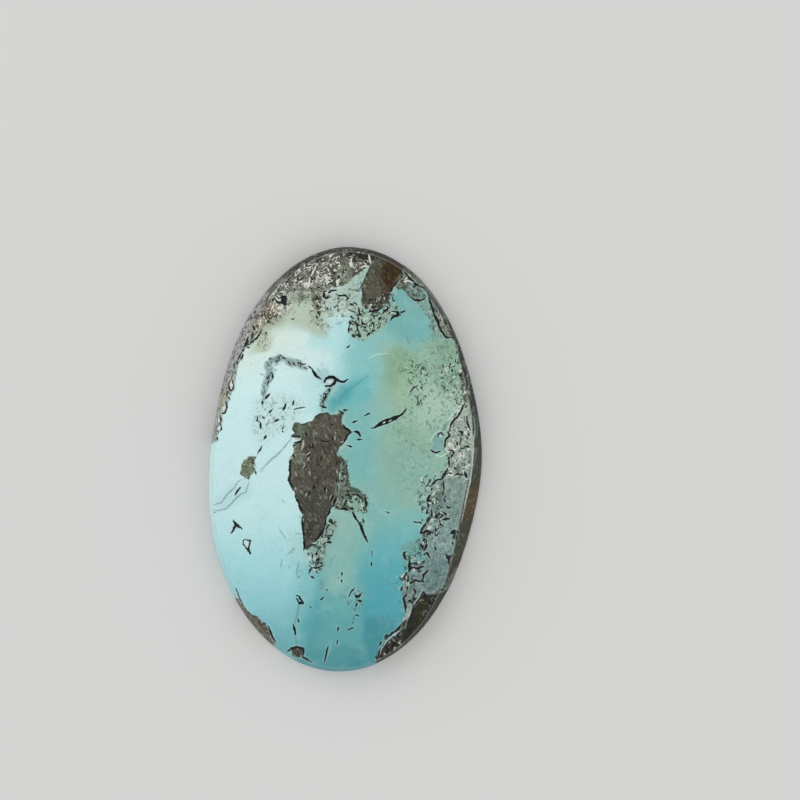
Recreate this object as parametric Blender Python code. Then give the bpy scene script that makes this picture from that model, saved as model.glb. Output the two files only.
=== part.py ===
"""Turquoise cabochon: one cut and polished oval with a low dome, a leaning side wall and a flat back.

Units are metres and +Z is up. The origin is at the middle of the flat back. +Y runs along the
long axis of the oval and +X across it.
"""

import math

import bpy
import numpy as np

MM = 0.001

# Driving dimensions of the oval: a plain ellipse that leans a little, then the hand-cut edge
HALF_LENGTH = 20.0 * MM
HALF_WIDTH = 12.65 * MM
LEAN = math.radians(-2.0)

# How far the real edge stands out from the ellipse, every 30 degrees from +X towards +Y
EDGE_SWELL = np.array([0.15, -0.1, -0.05, 0.05, 0.05, -0.1, 0.1, 0.5, 0.4, -0.1, -0.1, -0.1]) * MM

# How far the side wall leans in from the foot to the ridge, every 30 degrees in the same way
WALL_LEAN = np.array([1.15, 0.75, 0.65, 0.65, 0.95, 0.75, 0.55, 0.65, 0.8, 0.65, 0.7, 1.4]) * MM

# Heights
BACK_BEVEL = 0.3 * MM
RIDGE_HEIGHT = 2.2 * MM
DOME_RISE = 3.8 * MM
DOME_FLATNESS = 0.3
WALL_BELLY = 0.06 * MM

# The dark ironstone was softer than the turquoise, so polishing left it lower. Each patch is
# an outline in millimetres from the middle of the stone, and how far it lies below the dome.
MAIN_PATCH = (
    (-4.5, 3.0), (-3.4, 3.6), (-2.0, 4.2), (0.0, 4.5), (-0.1, 3.5), (0.7, 2.7), (0.2, 1.7),
    (-0.5, 0.8), (0.3, 0.2), (0.5, -1.9), (0.2, -2.7), (-0.6, -3.1), (-1.1, -4.6), (-1.9, -6.2),
    (-2.8, -7.6), (-3.5, -8.0), (-3.7, -5.2), (-4.4, -3.0), (-4.9, -1.5), (-4.9, 0.0),
    (-4.5, 1.2), (-4.4, 2.0),
)
SIDE_PATCH = (
    (-0.2, -1.9), (0.8, -2.4), (1.7, -2.7), (2.1, -3.4), (2.1, -4.1), (0.2, -4.4), (-0.4, -4.1),
)
SMALL_PATCH = ((-8.4, 0.5), (-7.9, 0.3), (-8.0, -0.8), (-8.7, -1.7), (-9.5, -1.1), (-9.1, 0.2))
TOP_PATCH = (
    (0.7, 20.5), (2.5, 20.5), (5.1, 19.5), (5.6, 17.6), (5.0, 16.4), (4.2, 15.1), (3.5, 13.8),
    (2.7, 13.6), (1.6, 14.1), (1.7, 16.1), (2.1, 16.8), (2.4, 17.7),
)
CORNER_PATCH = (
    (9.4, -12.0), (11.0, -12.5), (9.0, -17.0), (3.1, -20.0), (3.3, -17.5), (4.2, -16.5),
    (5.5, -15.4), (6.2, -13.5), (7.2, -12.0),
)
PATCHES = (
    (MAIN_PATCH, 0.25),
    (SIDE_PATCH, 0.12),
    (SMALL_PATCH, 0.15),
    (TOP_PATCH, 0.15),
    (CORNER_PATCH, 0.15),
)
PATCH_SLOPE = 0.6  # width in millimetres of the bank round each patch
PATCH_FADE = 12.0  # the sinking is whole once a point lies one part in this many in from the ridge

# Mesh density: the dome is a square grid bent into the oval. Steeper edges than this stay sharp.
GRID_STEPS = 60
SHARP_EDGE = math.radians(18.0)

TURQUOISE_BLUE = (0.42, 0.70, 0.72, 1.0)
TURQUOISE_ROUGHNESS = 0.28
TURQUOISE_IOR = 1.62


def around(values, angle):
    """A smooth closed curve through evenly spaced values, as the shortest sum of waves that meets them."""
    waves = np.fft.rfft(values) / len(values)
    total = np.full_like(angle, waves[0].real)
    for order in range(1, len(waves)):
        share = 1.0 if order == len(values) / 2 else 2.0
        total += share * (waves[order] * np.exp(1j * order * angle)).real
    return total


def edge_radius(angle):
    """Distance from the middle to the foot of the wall: the leaning ellipse plus the swell."""
    turned = angle - LEAN
    flattened = np.hypot(HALF_LENGTH * np.cos(turned), HALF_WIDTH * np.sin(turned))
    return HALF_LENGTH * HALF_WIDTH / flattened + around(EDGE_SWELL, angle)


def ridge_radius(angle):
    """Distance from the middle to the ridge where the wall meets the dome."""
    return edge_radius(angle) - around(WALL_LEAN, angle)


def unit_disc(steps):
    """A square grid bent into a disc: each square ring of the grid becomes one round ring."""
    line = np.linspace(-1.0, 1.0, steps + 1)
    across, along = np.meshgrid(line, line)
    wide = np.abs(across) > np.abs(along)
    radius = np.where(wide, across, along)
    safe = np.where(radius == 0.0, 1.0, radius)
    turn = np.where(wide, along / safe, 2.0 - across / safe) * math.pi / 4
    return np.abs(radius), np.arctan2(radius * np.sin(turn), radius * np.cos(turn))


def inside_distance(x, y, outline):
    """How far each point lies inside a closed outline, in the outline's units; negative outside it."""
    corners = np.array(outline)
    nearest = np.full(x.shape, np.inf)
    inside = np.zeros(x.shape, bool)
    for (ax, ay), (bx, by) in zip(corners, np.roll(corners, -1, axis=0)):
        run, rise = bx - ax, by - ay
        share = np.clip(((x - ax) * run + (y - ay) * rise) / (run * run + rise * rise), 0.0, 1.0)
        nearest = np.minimum(nearest, np.hypot(x - ax - share * run, y - ay - share * rise))
        if rise != 0.0:
            crosses = ((ay > y) != (by > y)) & (x < ax + (y - ay) * run / rise)
            inside ^= crosses
    return np.where(inside, nearest, -nearest)


def patch_depth(x, y):
    """How far the surface is sunk at each point by the softer patches, in metres."""
    depth = np.zeros(x.shape)
    for outline, sunk in PATCHES:
        share = np.clip(inside_distance(x / MM, y / MM, outline) / PATCH_SLOPE + 0.5, 0.0, 1.0)
        depth = np.maximum(depth, sunk * MM * share * share * (3.0 - 2.0 * share))
    return depth


def dome_height(reach):
    """Height of the dome at this share of the way to the ridge: a parabola, flattened on top."""
    fall = (1.0 - DOME_FLATNESS) * reach**2 + DOME_FLATNESS * reach**4
    return RIDGE_HEIGHT + DOME_RISE * (1.0 - fall)


def dome_points():
    """The dome as a grid of points, its outermost ring on the ridge."""
    reach, turn = unit_disc(GRID_STEPS)
    angle = np.arctan2(HALF_LENGTH * np.sin(turn), HALF_WIDTH * np.cos(turn))
    radius = reach * ridge_radius(angle)
    x, y = radius * np.cos(angle), radius * np.sin(angle)
    # The sinking fades out just before the ridge, which stays an unbroken line.
    fade = np.clip((1.0 - reach) * PATCH_FADE, 0.0, 1.0)
    return np.stack([x, y, dome_height(reach) - patch_depth(x, y) * fade], axis=-1)


def rim_of(grid):
    """Indices of the grid's border, counter-clockwise seen from above."""
    index = np.arange(grid * grid).reshape(grid, grid)
    return np.concatenate([index[0, :-1], index[:-1, -1], index[-1, :0:-1], index[:0:-1, 0]])


def wall_rings(rim_points):
    """The rings below the ridge: the wall's belly, its foot, and the edge of the back below the bevel."""
    angle = np.arctan2(rim_points[:, 1], rim_points[:, 0])
    foot, ridge = edge_radius(angle), ridge_radius(angle)
    middle = (foot + ridge) / 2 + WALL_BELLY
    profile = (
        (middle, (RIDGE_HEIGHT + BACK_BEVEL) / 2),
        (foot, BACK_BEVEL),
        (foot - BACK_BEVEL, 0.0),
    )
    return [
        np.stack([radius * np.cos(angle), radius * np.sin(angle), np.full_like(angle, height)], axis=-1)
        for radius, height in profile
    ]


def stone_mesh():
    """The dome's squares, the bands of the wall, and one flat face for the back, as one closed mesh."""
    grid = GRID_STEPS + 1
    dome = dome_points().reshape(-1, 3)
    rim = rim_of(grid)
    rings = wall_rings(dome[rim])
    points = np.concatenate([dome, *rings])
    middle = (points[:, :2].max(axis=0) + points[:, :2].min(axis=0)) / 2
    points[:, :2] -= middle

    index = np.arange(grid * grid).reshape(grid, grid)
    corners = (index[:-1, :-1], index[:-1, 1:], index[1:, 1:], index[1:, :-1])
    faces = np.stack(corners, axis=-1).reshape(-1, 4).tolist()
    upper = rim
    for number in range(len(rings)):
        lower = len(dome) + number * len(rim) + np.arange(len(rim))
        band = np.stack([lower, np.roll(lower, -1), np.roll(upper, -1), upper], axis=-1)
        faces += band.tolist()
        upper = lower
    faces.append(upper[::-1].tolist())

    mesh = bpy.data.meshes.new("turquoise")
    mesh.from_pydata(points.tolist(), [], faces)
    mesh.validate()
    mesh.shade_smooth()
    mesh.set_sharp_from_angle(angle=SHARP_EDGE)
    return mesh


def turquoise_material():
    """Polished turquoise in one even blue."""
    material = bpy.data.materials.new("turquoise_stone")
    material.use_nodes = True
    shader = material.node_tree.nodes["Principled BSDF"]
    shader.inputs["Base Color"].default_value = TURQUOISE_BLUE
    shader.inputs["Roughness"].default_value = TURQUOISE_ROUGHNESS
    shader.inputs["IOR"].default_value = TURQUOISE_IOR
    return material


def main():
    for leftover in list(bpy.data.objects):
        bpy.data.objects.remove(leftover)
    stone = bpy.data.objects.new("turquoise", stone_mesh())
    stone.data.materials.append(turquoise_material())
    bpy.context.scene.collection.objects.link(stone)


main()
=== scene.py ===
# %% [markdown]
# # A polished turquoise seen from above
# The stone is one natural piece: pale blue turquoise that grew in cracks of a brown ironstone, with some
# of that host rock left at the edges. It was cut to an oval, ground to a low dome and polished. Nothing
# was put together, so there is one piece here too. The work is in its skin: a fine mesh with the true
# dome and its sunk dark patches, and one material that knows how far each spot lies from every patch,
# seam and vein.

# %% Load the fixed frame
import itertools
import math

import bpy
import numpy as np
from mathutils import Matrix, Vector


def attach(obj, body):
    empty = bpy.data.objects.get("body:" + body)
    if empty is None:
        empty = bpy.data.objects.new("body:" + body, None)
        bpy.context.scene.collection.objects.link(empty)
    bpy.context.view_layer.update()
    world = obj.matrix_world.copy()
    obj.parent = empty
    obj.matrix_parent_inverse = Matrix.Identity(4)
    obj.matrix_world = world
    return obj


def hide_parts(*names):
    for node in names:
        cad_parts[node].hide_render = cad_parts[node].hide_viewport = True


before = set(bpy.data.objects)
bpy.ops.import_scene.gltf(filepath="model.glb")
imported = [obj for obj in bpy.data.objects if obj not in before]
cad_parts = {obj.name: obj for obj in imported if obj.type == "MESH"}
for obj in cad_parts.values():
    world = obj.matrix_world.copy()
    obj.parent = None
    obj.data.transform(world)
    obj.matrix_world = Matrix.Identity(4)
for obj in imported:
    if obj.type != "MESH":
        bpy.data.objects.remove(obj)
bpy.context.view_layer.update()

# %% [markdown]
# ## Where the camera hangs
# The picture was taken from straight above the middle of the cloth, and the stone lies a little left of
# and below that middle. More of the side wall shows on the right than on the left, which is how a lens
# only about a hand's breadth away sees it. All the marks below are written as places in the 800 x 800
# picture, so the first thing needed is the rule that turns a point of the stone into such a place.

# %% Picture and camera sizes
MM = 0.001
PICTURE = 800.0
OVAL_PIXELS = 424.0  # height of the oval in the picture
OVAL_MM = 40.0
MM_PER_PIXEL = OVAL_MM / OVAL_PIXELS
STONE_MIDDLE = (345.5, 459.0)  # its middle in the picture
CAMERA_HEIGHT = 120.0  # millimetres above the table
CAMERA_X = (PICTURE / 2 - STONE_MIDDLE[0]) * MM_PER_PIXEL
CAMERA_Y = (STONE_MIDDLE[1] - PICTURE / 2) * MM_PER_PIXEL


def seen_at(x, y, z):
    """Picture place of points in millimetres: offsets from the camera's axis grow as points come nearer to it."""
    spread = CAMERA_HEIGHT / (CAMERA_HEIGHT - z) / MM_PER_PIXEL
    return PICTURE / 2 + (x - CAMERA_X) * spread, PICTURE / 2 - (y - CAMERA_Y) * spread


def make_camera():
    """A camera that looks straight down with the top of the picture towards +Y."""
    lens = bpy.data.cameras.new("overhead")
    lens.sensor_width = 36.0
    lens.lens = lens.sensor_width * CAMERA_HEIGHT / (PICTURE * MM_PER_PIXEL)
    lens.clip_start, lens.clip_end = 0.005, 5.0
    camera = bpy.data.objects.new("overhead", lens)
    camera.location = (CAMERA_X * MM, CAMERA_Y * MM, CAMERA_HEIGHT * MM)
    bpy.context.scene.collection.objects.link(camera)
    bpy.context.scene.camera = camera
    return camera


print("lens in mm:", round(make_camera().data.lens, 1))

# %% [markdown]
# ## The shape of the stone
# A cutter grinds the outline first, then leans the wheel to shape the wall, and last rolls the stone
# under the wheel to raise the dome. The same three steps give the formulas here: an ellipse with a
# little hand-made swell, a wall whose lean changes on the way round, and a dome that is a parabola with
# a flattened top. A sphere cut in half would be quicker, but it would be too round and too even.

# %% Sizes of the cut stone, in millimetres
HALF_LENGTH = 20.0
HALF_WIDTH = 12.65
LEAN = math.radians(-2.0)
EDGE_SWELL = np.array([0.15, -0.1, -0.05, 0.05, 0.05, -0.1, 0.1, 0.5, 0.4, -0.1, -0.1, -0.1])
WALL_LEAN = np.array([1.15, 0.75, 0.65, 0.65, 0.95, 0.75, 0.55, 0.65, 0.8, 0.65, 0.7, 1.4])
BACK_BEVEL = 0.3
RIDGE_HEIGHT = 2.2
DOME_RISE = 3.8
DOME_FLATNESS = 0.3
WALL_BELLY = 0.06
STEPS_ACROSS = 240  # squares of the dome's grid, about 0.11 mm each
STEPS_ALONG = 360
WALL_STEPS = 7


def around(values, angle):
    """A smooth closed curve through evenly spaced values: the shortest sum of sines and cosines that meets them."""
    waves = np.fft.rfft(values) / len(values)
    total = np.full_like(angle, waves[0].real)
    for order in range(1, len(waves)):
        share = 1.0 if order == len(values) / 2 else 2.0
        total += share * (waves[order] * np.exp(1j * order * angle)).real
    return total


def edge_radius(angle):
    """Distance from the middle to the widest edge in this direction: the leaning ellipse plus the swell."""
    turned = angle - LEAN
    ellipse = HALF_LENGTH * HALF_WIDTH / np.hypot(HALF_LENGTH * np.cos(turned), HALF_WIDTH * np.sin(turned))
    return ellipse + around(EDGE_SWELL, angle)


def ridge_radius(angle):
    """Distance from the middle to the ridge where the wall meets the dome."""
    return edge_radius(angle) - around(WALL_LEAN, angle)


def dome_height(reach):
    """Height at this share of the way from the middle to the ridge: a parabola, flattened on top."""
    fall = (1.0 - DOME_FLATNESS) * reach**2 + DOME_FLATNESS * reach**4
    return RIDGE_HEIGHT + DOME_RISE * (1.0 - fall)


def unit_disc(steps_across, steps_along):
    """A grid bent into a disc: each square ring of the grid becomes one round ring."""
    across, along = np.meshgrid(np.linspace(-1.0, 1.0, steps_across + 1), np.linspace(-1.0, 1.0, steps_along + 1))
    wide = np.abs(across) > np.abs(along)
    radius = np.where(wide, across, along)
    safe = np.where(radius == 0.0, 1.0, radius)
    turn = np.where(wide, along / safe, 2.0 - across / safe) * math.pi / 4
    return np.abs(radius), np.arctan2(radius * np.sin(turn), radius * np.cos(turn))


edge_angles = np.radians(np.arange(0.0, 360.0, 0.25))
edge_x = edge_radius(edge_angles) * np.cos(edge_angles)
edge_y = edge_radius(edge_angles) * np.sin(edge_angles)
MIDDLE_X = (edge_x.max() + edge_x.min()) / 2
MIDDLE_Y = (edge_y.max() + edge_y.min()) / 2
print("oval in mm:", round(np.ptp(edge_x), 2), "x", round(np.ptp(edge_y), 2))

# %% [markdown]
# ## Distances to every mark
# A painter would draw the veins into a picture and wrap it round the stone. Here the marks are shapes
# instead: outlines for patches and short paths for seams. Each vertex of the mesh learns how far it
# lies inside the nearest mark of a kind, and the material turns those distances into crisp edges that
# noise can fray. So the same numbers also sink the soft patches into the surface.

# %% Distance rules
FAR_OUT = -60.0


def inside_distance(u, v, outline):
    """How far each point lies inside a closed outline, in pixels, and negative outside it."""
    corners = np.array(outline, float)
    nearest = np.full(u.shape, np.inf)
    inside = np.zeros(u.shape, bool)
    for (au, av), (bu, bv) in zip(corners, np.roll(corners, -1, axis=0)):
        run, rise = bu - au, bv - av
        share = np.clip(((u - au) * run + (v - av) * rise) / (run * run + rise * rise), 0.0, 1.0)
        nearest = np.minimum(nearest, np.hypot(u - au - share * run, v - av - share * rise))
        if rise != 0.0:
            inside ^= ((av > v) != (bv > v)) & (u < au + (v - av) * run / rise)
    return np.where(inside, nearest, -nearest)


def deepest(u, v, outlines):
    """The largest distance inside any of several outlines."""
    field = np.full(u.shape, FAR_OUT)
    for outline in outlines:
        field = np.maximum(field, inside_distance(u, v, outline))
    return field


def stroke_distance(u, v, strokes):
    """How far inside the nearest pen stroke a point lies, the stroke's half width there, and the signed distance
    to its middle line. A stroke swells in the middle and thins to half its width at both ends."""
    inside = np.full(u.shape, FAR_OUT)
    width, side = np.zeros(u.shape), np.full(u.shape, FAR_OUT)
    for half_width, path in strokes:
        path = np.array(path, float)
        steps = np.hypot(*np.diff(path, axis=0).T)
        begins = np.concatenate([[0.0], np.cumsum(steps)])
        for number, step in enumerate(steps):
            (au, av), (run, rise) = path[number], path[number + 1] - path[number]
            share = np.clip(((u - au) * run + (v - av) * rise) / (step * step), 0.0, 1.0)
            here = half_width * (0.5 + 0.5 * np.sin(math.pi * (begins[number] + share * step) / begins[-1]))
            away = np.hypot(u - au - share * run, v - av - share * rise)
            better = here - away > inside
            inside = np.where(better, here - away, inside)
            width = np.where(better, here, width)
            side = np.where(better, np.copysign(away, (u - au) * rise - (v - av) * run), side)
    return inside, width, side


def soft_zone(u, v, outline, softness):
    """A share from 0 outside to 1 inside an outline, changing smoothly over a band this many pixels wide."""
    share = np.clip(inside_distance(u, v, outline) / softness + 0.5, 0.0, 1.0)
    return share * share * (3.0 - 2.0 * share)

# %% [markdown]
# ## Dark ironstone patches
# Ironstone is softer than the turquoise and rusts, so it is brown, dull and a little lower than the
# polish round it. The largest patch is a long wedge left of the middle. A second, with a smooth rusty
# part, comes in from the top, a third fills the lower right edge, and small ones dot the rest.

# %% Outlines of the dark patches, in picture pixels
MAIN_WEDGE = (
    (292.4, 429), (293, 424), (296.5, 421.7), (301, 423.5), (304.5, 424), (308, 421.8), (312, 420),
    (315, 416.5), (319.5, 414), (322, 412.8), (328, 412), (331, 415), (338, 413), (343.5, 412.5),
    (342.5, 418), (342, 424), (345, 428), (350, 431), (351.3, 432.5), (348.6, 435), (346, 439),
    (343, 443.5), (340, 447), (337.5, 452), (336.5, 455), (338.5, 458), (340, 463), (341, 470),
    (339, 480), (338, 488), (336.3, 496.8), (333.4, 505.7), (330.3, 510.2), (327.2, 516), (325.9, 522.2),
    (324, 528), (320.5, 536), (315.1, 542), (311, 546), (308, 549), (304.4, 549), (303.7, 538),
    (302.4, 523.6), (302.4, 515), (300.9, 510.2), (299, 504.8), (297.3, 500.8), (295, 495.4),
    (292.4, 488.8), (290.4, 484.3), (288.4, 480.3), (289.8, 474.5), (289, 466), (290.5, 459), (293, 454),
    (293.2, 444), (298, 443), (302, 440.5), (297, 438), (292, 436.5), (295, 433),
)
SMALL_OVAL = (
    (251, 456.5), (255.5, 457.5), (254, 465), (255.5, 470), (253, 474), (248.5, 479.5), (244.5, 478.5),
    (240.5, 473), (242, 465), (244.5, 459.5),
)
TOP_LOBE = (
    (345, 225), (385, 225), (420, 240), (416, 262), (403, 268), (402, 276), (397, 282), (393.5, 288),
    (390, 294), (389.5, 300), (386, 306), (379, 309), (370, 311), (364, 309), (361, 303), (362, 295),
    (361, 287), (363, 280), (367, 274), (369, 267), (366, 262), (357, 256), (349, 244),
)
LOWER_RIGHT = (
    (422.3, 591), (431, 593), (440.7, 594), (447, 590), (451, 584), (454, 577), (457, 570), (480, 560),
    (480, 600), (450, 640), (412, 672), (392, 680), (378, 676), (376, 662), (378, 655), (380.5, 650),
    (384, 644), (388, 640.5), (393, 637.5), (398.6, 633), (404, 629), (406.7, 627.5), (407.8, 624),
    (410, 620), (411.6, 614), (413.2, 606.3), (415.7, 604.3), (420.3, 598.7),
)
BOTTOM_SPOT = ((291, 650), (296, 647), (302, 649), (304, 654), (300, 657), (293, 656))
IRON_PATCHES = (MAIN_WEDGE, SMALL_OVAL, TOP_LOBE, LOWER_RIGHT, BOTTOM_SPOT)
print("dark patches:", len(IRON_PATCHES))

# %% [markdown]
# ## Host rock at the edges
# Round the blue the cutter left some of the rock that the turquoise grew in. Across the top it is a
# grey-brown crust full of pale grains, along the right it is grey-white to lavender quartz rock, and at
# the left only thin slivers of it show. The outlines run out past the edge of the stone, so the side
# wall carries on with the rock that meets it.

# %% Outlines of the host rock, in picture pixels
TOP_CRUST = (
    (236, 338), (246, 335), (256, 332), (263, 328), (270, 322), (275, 315), (279, 309), (282, 304),
    (285, 297), (290, 293), (297, 290), (303, 291), (309, 293), (313, 301), (316, 312), (319, 318),
    (322, 311), (321, 300), (324, 291), (331, 288), (338, 286.5), (345, 285), (350, 281), (353, 278),
    (357, 276), (361, 272), (366, 267), (371, 261), (373, 225), (300, 220), (250, 250), (212, 338),
)
RIM_CRUST = (
    (400, 262), (401, 272), (398, 279), (395, 286), (397, 290), (401, 289), (406, 291), (411, 288), (418, 284), (424, 288), (428, 293), (431, 303),
    (434, 311), (437, 319), (438, 326), (441, 333), (446, 337), (451, 337), (455, 341), (458, 352),
    (461, 364), (460, 378), (462, 390), (463, 398), (464, 404), (500, 404), (500, 352), (440, 255),
    (415, 235),
)
RIM_LENS = (
    (404, 284), (410, 282), (418, 284), (424, 289), (427, 296), (425, 301), (419, 302), (412, 300),
    (407, 294),
)
RIGHT_ROCK = (
    (464.3, 404), (461.7, 409.7), (458.2, 416.8), (453.6, 420.4), (451, 425), (449.5, 430.6),
    (448, 432.7), (450, 435.2), (447.4, 438.3), (445.2, 440.3), (444.9, 445.9), (444.4, 449),
    (447, 453), (448.7, 457.7), (449, 466.3), (447.4, 468.9), (446, 472.4), (443.4, 476.5),
    (441.8, 479.3), (437.8, 479.7), (435.2, 481.2), (431.6, 485.3), (430, 490), (429, 496),
    (427.6, 500.6), (427.5, 505), (427, 511), (428, 516), (427.6, 521.5), (424, 526.5), (421.9, 529.7),
    (420.9, 533.3), (422.5, 537), (423, 540), (422, 546), (424, 552), (424.5, 560), (418, 563),
    (412, 562), (409.6, 563), (410, 570.6), (407, 572.7), (404, 578.8), (403.5, 583), (402.4, 587),
    (401.2, 590), (402, 594), (403.5, 599.2), (404, 603), (405.2, 606), (405.7, 612.8), (403.2, 619.4),
    (400.6, 624.5), (397.6, 631), (407, 630), (414, 612), (426, 595), (445, 595), (460, 570),
    (500, 520), (500, 400), (480, 385), (468, 390),
)
LEFT_SLIVER = (
    (239, 598), (243, 606), (250, 613.5), (258, 617.5), (265, 624), (270, 631), (275.5, 642),
    (262, 655), (235, 630), (230, 600),
)
LEFT_BAND = (
    (262, 329), (256, 338), (249, 345), (244, 350.5), (241, 356), (239.5, 362), (238, 370), (236.5, 378),
    (235, 386), (232.5, 392), (230.5, 398), (228.5, 405), (227, 411), (223, 416), (222, 424), (220.5, 430),
    (217.5, 438), (215, 444), (190, 444), (195, 380), (225, 320), (258, 322),
)
WEDGE_STRIP = (
    (337, 453), (341, 456), (346, 461), (347.7, 469), (349, 480), (351, 487), (356, 487.5), (361, 491),
    (365.5, 495), (367, 500), (366.5, 508), (364, 507), (363, 501), (358, 497), (352, 497), (348, 500),
    (346, 504), (349, 509), (345, 511), (340, 510), (335, 508), (334, 503), (336, 496), (338, 488),
    (339, 480), (341, 470), (340, 463),
)
HOST_PATCHES = (TOP_CRUST, RIM_CRUST, RIM_LENS, RIGHT_ROCK, LEFT_SLIVER, LEFT_BAND, WEDGE_STRIP)
print("host patches:", len(HOST_PATCHES))

# %% [markdown]
# ## Colours as they are seen
# The colours are kept as the eye meets them on the table. A material wants something else: the share of
# light that the surface throws back. So one rule makes that share from a seen colour, and takes off the
# thin veil of light that the gloss adds. With it a colour can be read, compared and mended by eye.

# %% From a seen colour to the material's own
GLOSS_VEIL = 0.0135
LIGHT_LEVEL = 0.885


def seen(red, green, blue):
    """Colour numbers from 0 to 255 made linear, less the veil of the gloss, over the level of the light."""
    shares = np.array([red, green, blue]) / 255.0
    linear = np.where(shares <= 0.04045, shares / 12.92, ((shares + 0.055) / 1.055) ** 2.4)
    return tuple(np.clip((linear - GLOSS_VEIL) / LIGHT_LEVEL, 0.003, 1.0).tolist())


# The stops below grow darker down the picture: partly the stone's own deeper blue, and partly painted falloff of the
# light, which was brighter at the top left.
ICE_BY_HEIGHT = ((330, seen(203, 225, 222)), (400, seen(197, 228, 229)), (510, seen(188, 222, 223)),
                 (560, seen(161, 210, 214)), (605, seen(136, 193, 199)), (650, seen(96, 160, 166)))
TEAL_BY_HEIGHT = ((350, seen(139, 187, 182)), (440, seen(135, 181, 174)), (485, seen(132, 179, 172)),
                  (520, seen(123, 178, 174)), (552, seen(101, 172, 177)), (600, seen(78, 158, 167)),
                  (622, seen(75, 148, 158)), (650, seen(58, 132, 141)))
ROCK_BY_HEIGHT = ((410, seen(156, 168, 154)), (455, seen(146, 166, 152)), (485, seen(126, 149, 141)),
                  (520, seen(127, 151, 147)), (550, seen(124, 151, 147)), (575, seen(114, 138, 136)),
                  (600, seen(110, 131, 127)))
print("pale blue:", [round(share, 2) for share in ICE_BY_HEIGHT[1][1]])

# %% [markdown]
# ## Washes of colour
# The turquoise isn't one colour. The left is pale as ice, the middle teal, the right a mossy green, and
# all of it is painted darker towards the bottom, partly its own deeper blue and partly painted falloff of
# the light. A painter would lay one thin wash over another, and the same is done here: each wash has an
# outline, a softness and a colour, and the later ones cover the earlier.

# %% Washes over the turquoise: outline, width of the change in picture pixels, cover, colour
TURQUOISE_WASHES = (
    (((318, 500), (345, 482), (370, 500), (372, 530), (360, 566), (356, 604), (336, 612), (320, 592),
      (316, 550)), 34.0, 0.95, seen(135, 180, 171)),
    (((372, 575), (398, 562), (404, 600), (396, 635), (374, 658), (362, 640), (368, 600)),
     36.0, 0.6, seen(78, 158, 170)),
    (((322, 596), (345, 592), (362, 606), (365, 650), (350, 666), (326, 668), (304, 668), (312, 642),
      (322, 622)), 16.0, 0.75, seen(102, 165, 166)),
    (((366, 618), (384, 614), (400, 626), (390, 648), (374, 656), (364, 640)), 10.0, 0.85, seen(68, 137, 145)),
    (((310, 652), (344, 650), (380, 642), (384, 672), (310, 672)), 8.0, 0.6, seen(72, 138, 145)),
    (((400, 545), (414, 540), (424, 530), (430, 545), (424, 560), (404, 566)), 7.0, 0.7, seen(108, 148, 138)),
    (((328, 508), (346, 512), (350, 530), (338, 536), (330, 522)), 9.0, 0.6, seen(150, 185, 175)),
    (((384, 300), (398, 286), (424, 290), (440, 320), (444, 345), (400, 346), (384, 330)),
     18.0, 0.95, seen(117, 172, 169)),
    (((410, 322), (430, 320), (440, 336), (428, 346), (408, 344)), 12.0, 0.6, seen(115, 177, 176)),
    (((384, 350), (410, 348), (440, 340), (480, 335), (485, 480), (446, 500), (414, 506), (394, 498),
      (384, 480), (384, 440), (390, 420), (382, 400)), 26.0, 0.95, seen(146, 180, 160)),
    (((386, 358), (396, 350), (412, 354), (416, 372), (406, 390), (392, 392), (384, 376)),
     16.0, 0.85, seen(133, 167, 137)),
    (((396, 376), (410, 372), (412, 396), (402, 408), (392, 398)), 14.0, 0.8, seen(154, 185, 157)),
    (((430, 346), (450, 338), (466, 350), (468, 384), (452, 396), (436, 384)), 14.0, 0.85, seen(132, 167, 144)),
    (((420, 386), (440, 388), (450, 404), (440, 424), (424, 428), (414, 414), (422, 400)),
     18.0, 0.9, seen(166, 195, 179)),
    (((390, 424), (414, 426), (416, 450), (396, 456), (386, 440)), 18.0, 0.7, seen(135, 173, 154)),
    (((384, 455), (440, 450), (442, 488), (412, 502), (388, 494)), 26.0, 0.85, seen(132, 174, 163)),
    (((342, 325), (366, 322), (376, 350), (372, 392), (352, 396), (340, 380)), 18.0, 0.9, seen(133, 191, 190)),
    (((344, 410), (366, 404), (374, 436), (370, 478), (352, 482), (346, 450)), 20.0, 0.75, seen(118, 180, 177)),
    (((326, 392), (344, 380), (370, 372), (372, 396), (352, 410), (326, 408)), 14.0, 0.7, seen(108, 180, 182)),
    (((330, 400), (340, 388), (352, 382), (352, 394), (344, 408), (332, 411)), 9.0, 0.9, seen(85, 162, 167)),
    (((431, 446), (433, 438), (438, 432), (444, 432), (446, 440), (444, 450), (438, 453), (432, 451)),
     4.0, 0.9, seen(124, 165, 160)),
    (((346, 302), (362, 304), (368, 311), (382, 311), (392, 302), (396, 308), (388, 320), (378, 332),
      (366, 338), (352, 336), (346, 320)), 7.0, 0.85, seen(150, 174, 154)),
    (((416, 302), (428, 298), (438, 316), (446, 338), (436, 338), (427, 322)), 7.0, 0.8, seen(122, 154, 142)),
    (((304, 548), (312, 544), (322, 531), (330, 519), (337, 524), (332, 542), (326, 556), (321, 571),
      (312, 572), (306, 562)), 6.0, 0.8, seen(138, 162, 148)),
    (((336, 492), (350, 496), (364, 500), (364, 510), (352, 514), (340, 511), (334, 506)),
     6.0, 0.8, seen(134, 162, 144)),
)
ICE_ZONE = (
    (350, 290), (348, 330), (345, 352), (341, 370), (334, 381), (327, 389), (321, 397), (318, 407),
    (316, 415), (322, 440), (312, 480), (306, 520), (305, 548), (310, 566), (314, 582), (309, 602),
    (302, 625), (296, 665), (250, 690), (195, 610), (190, 450), (200, 330), (250, 270), (300, 265),
)
ICE_SOFTNESS = 15.0
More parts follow.
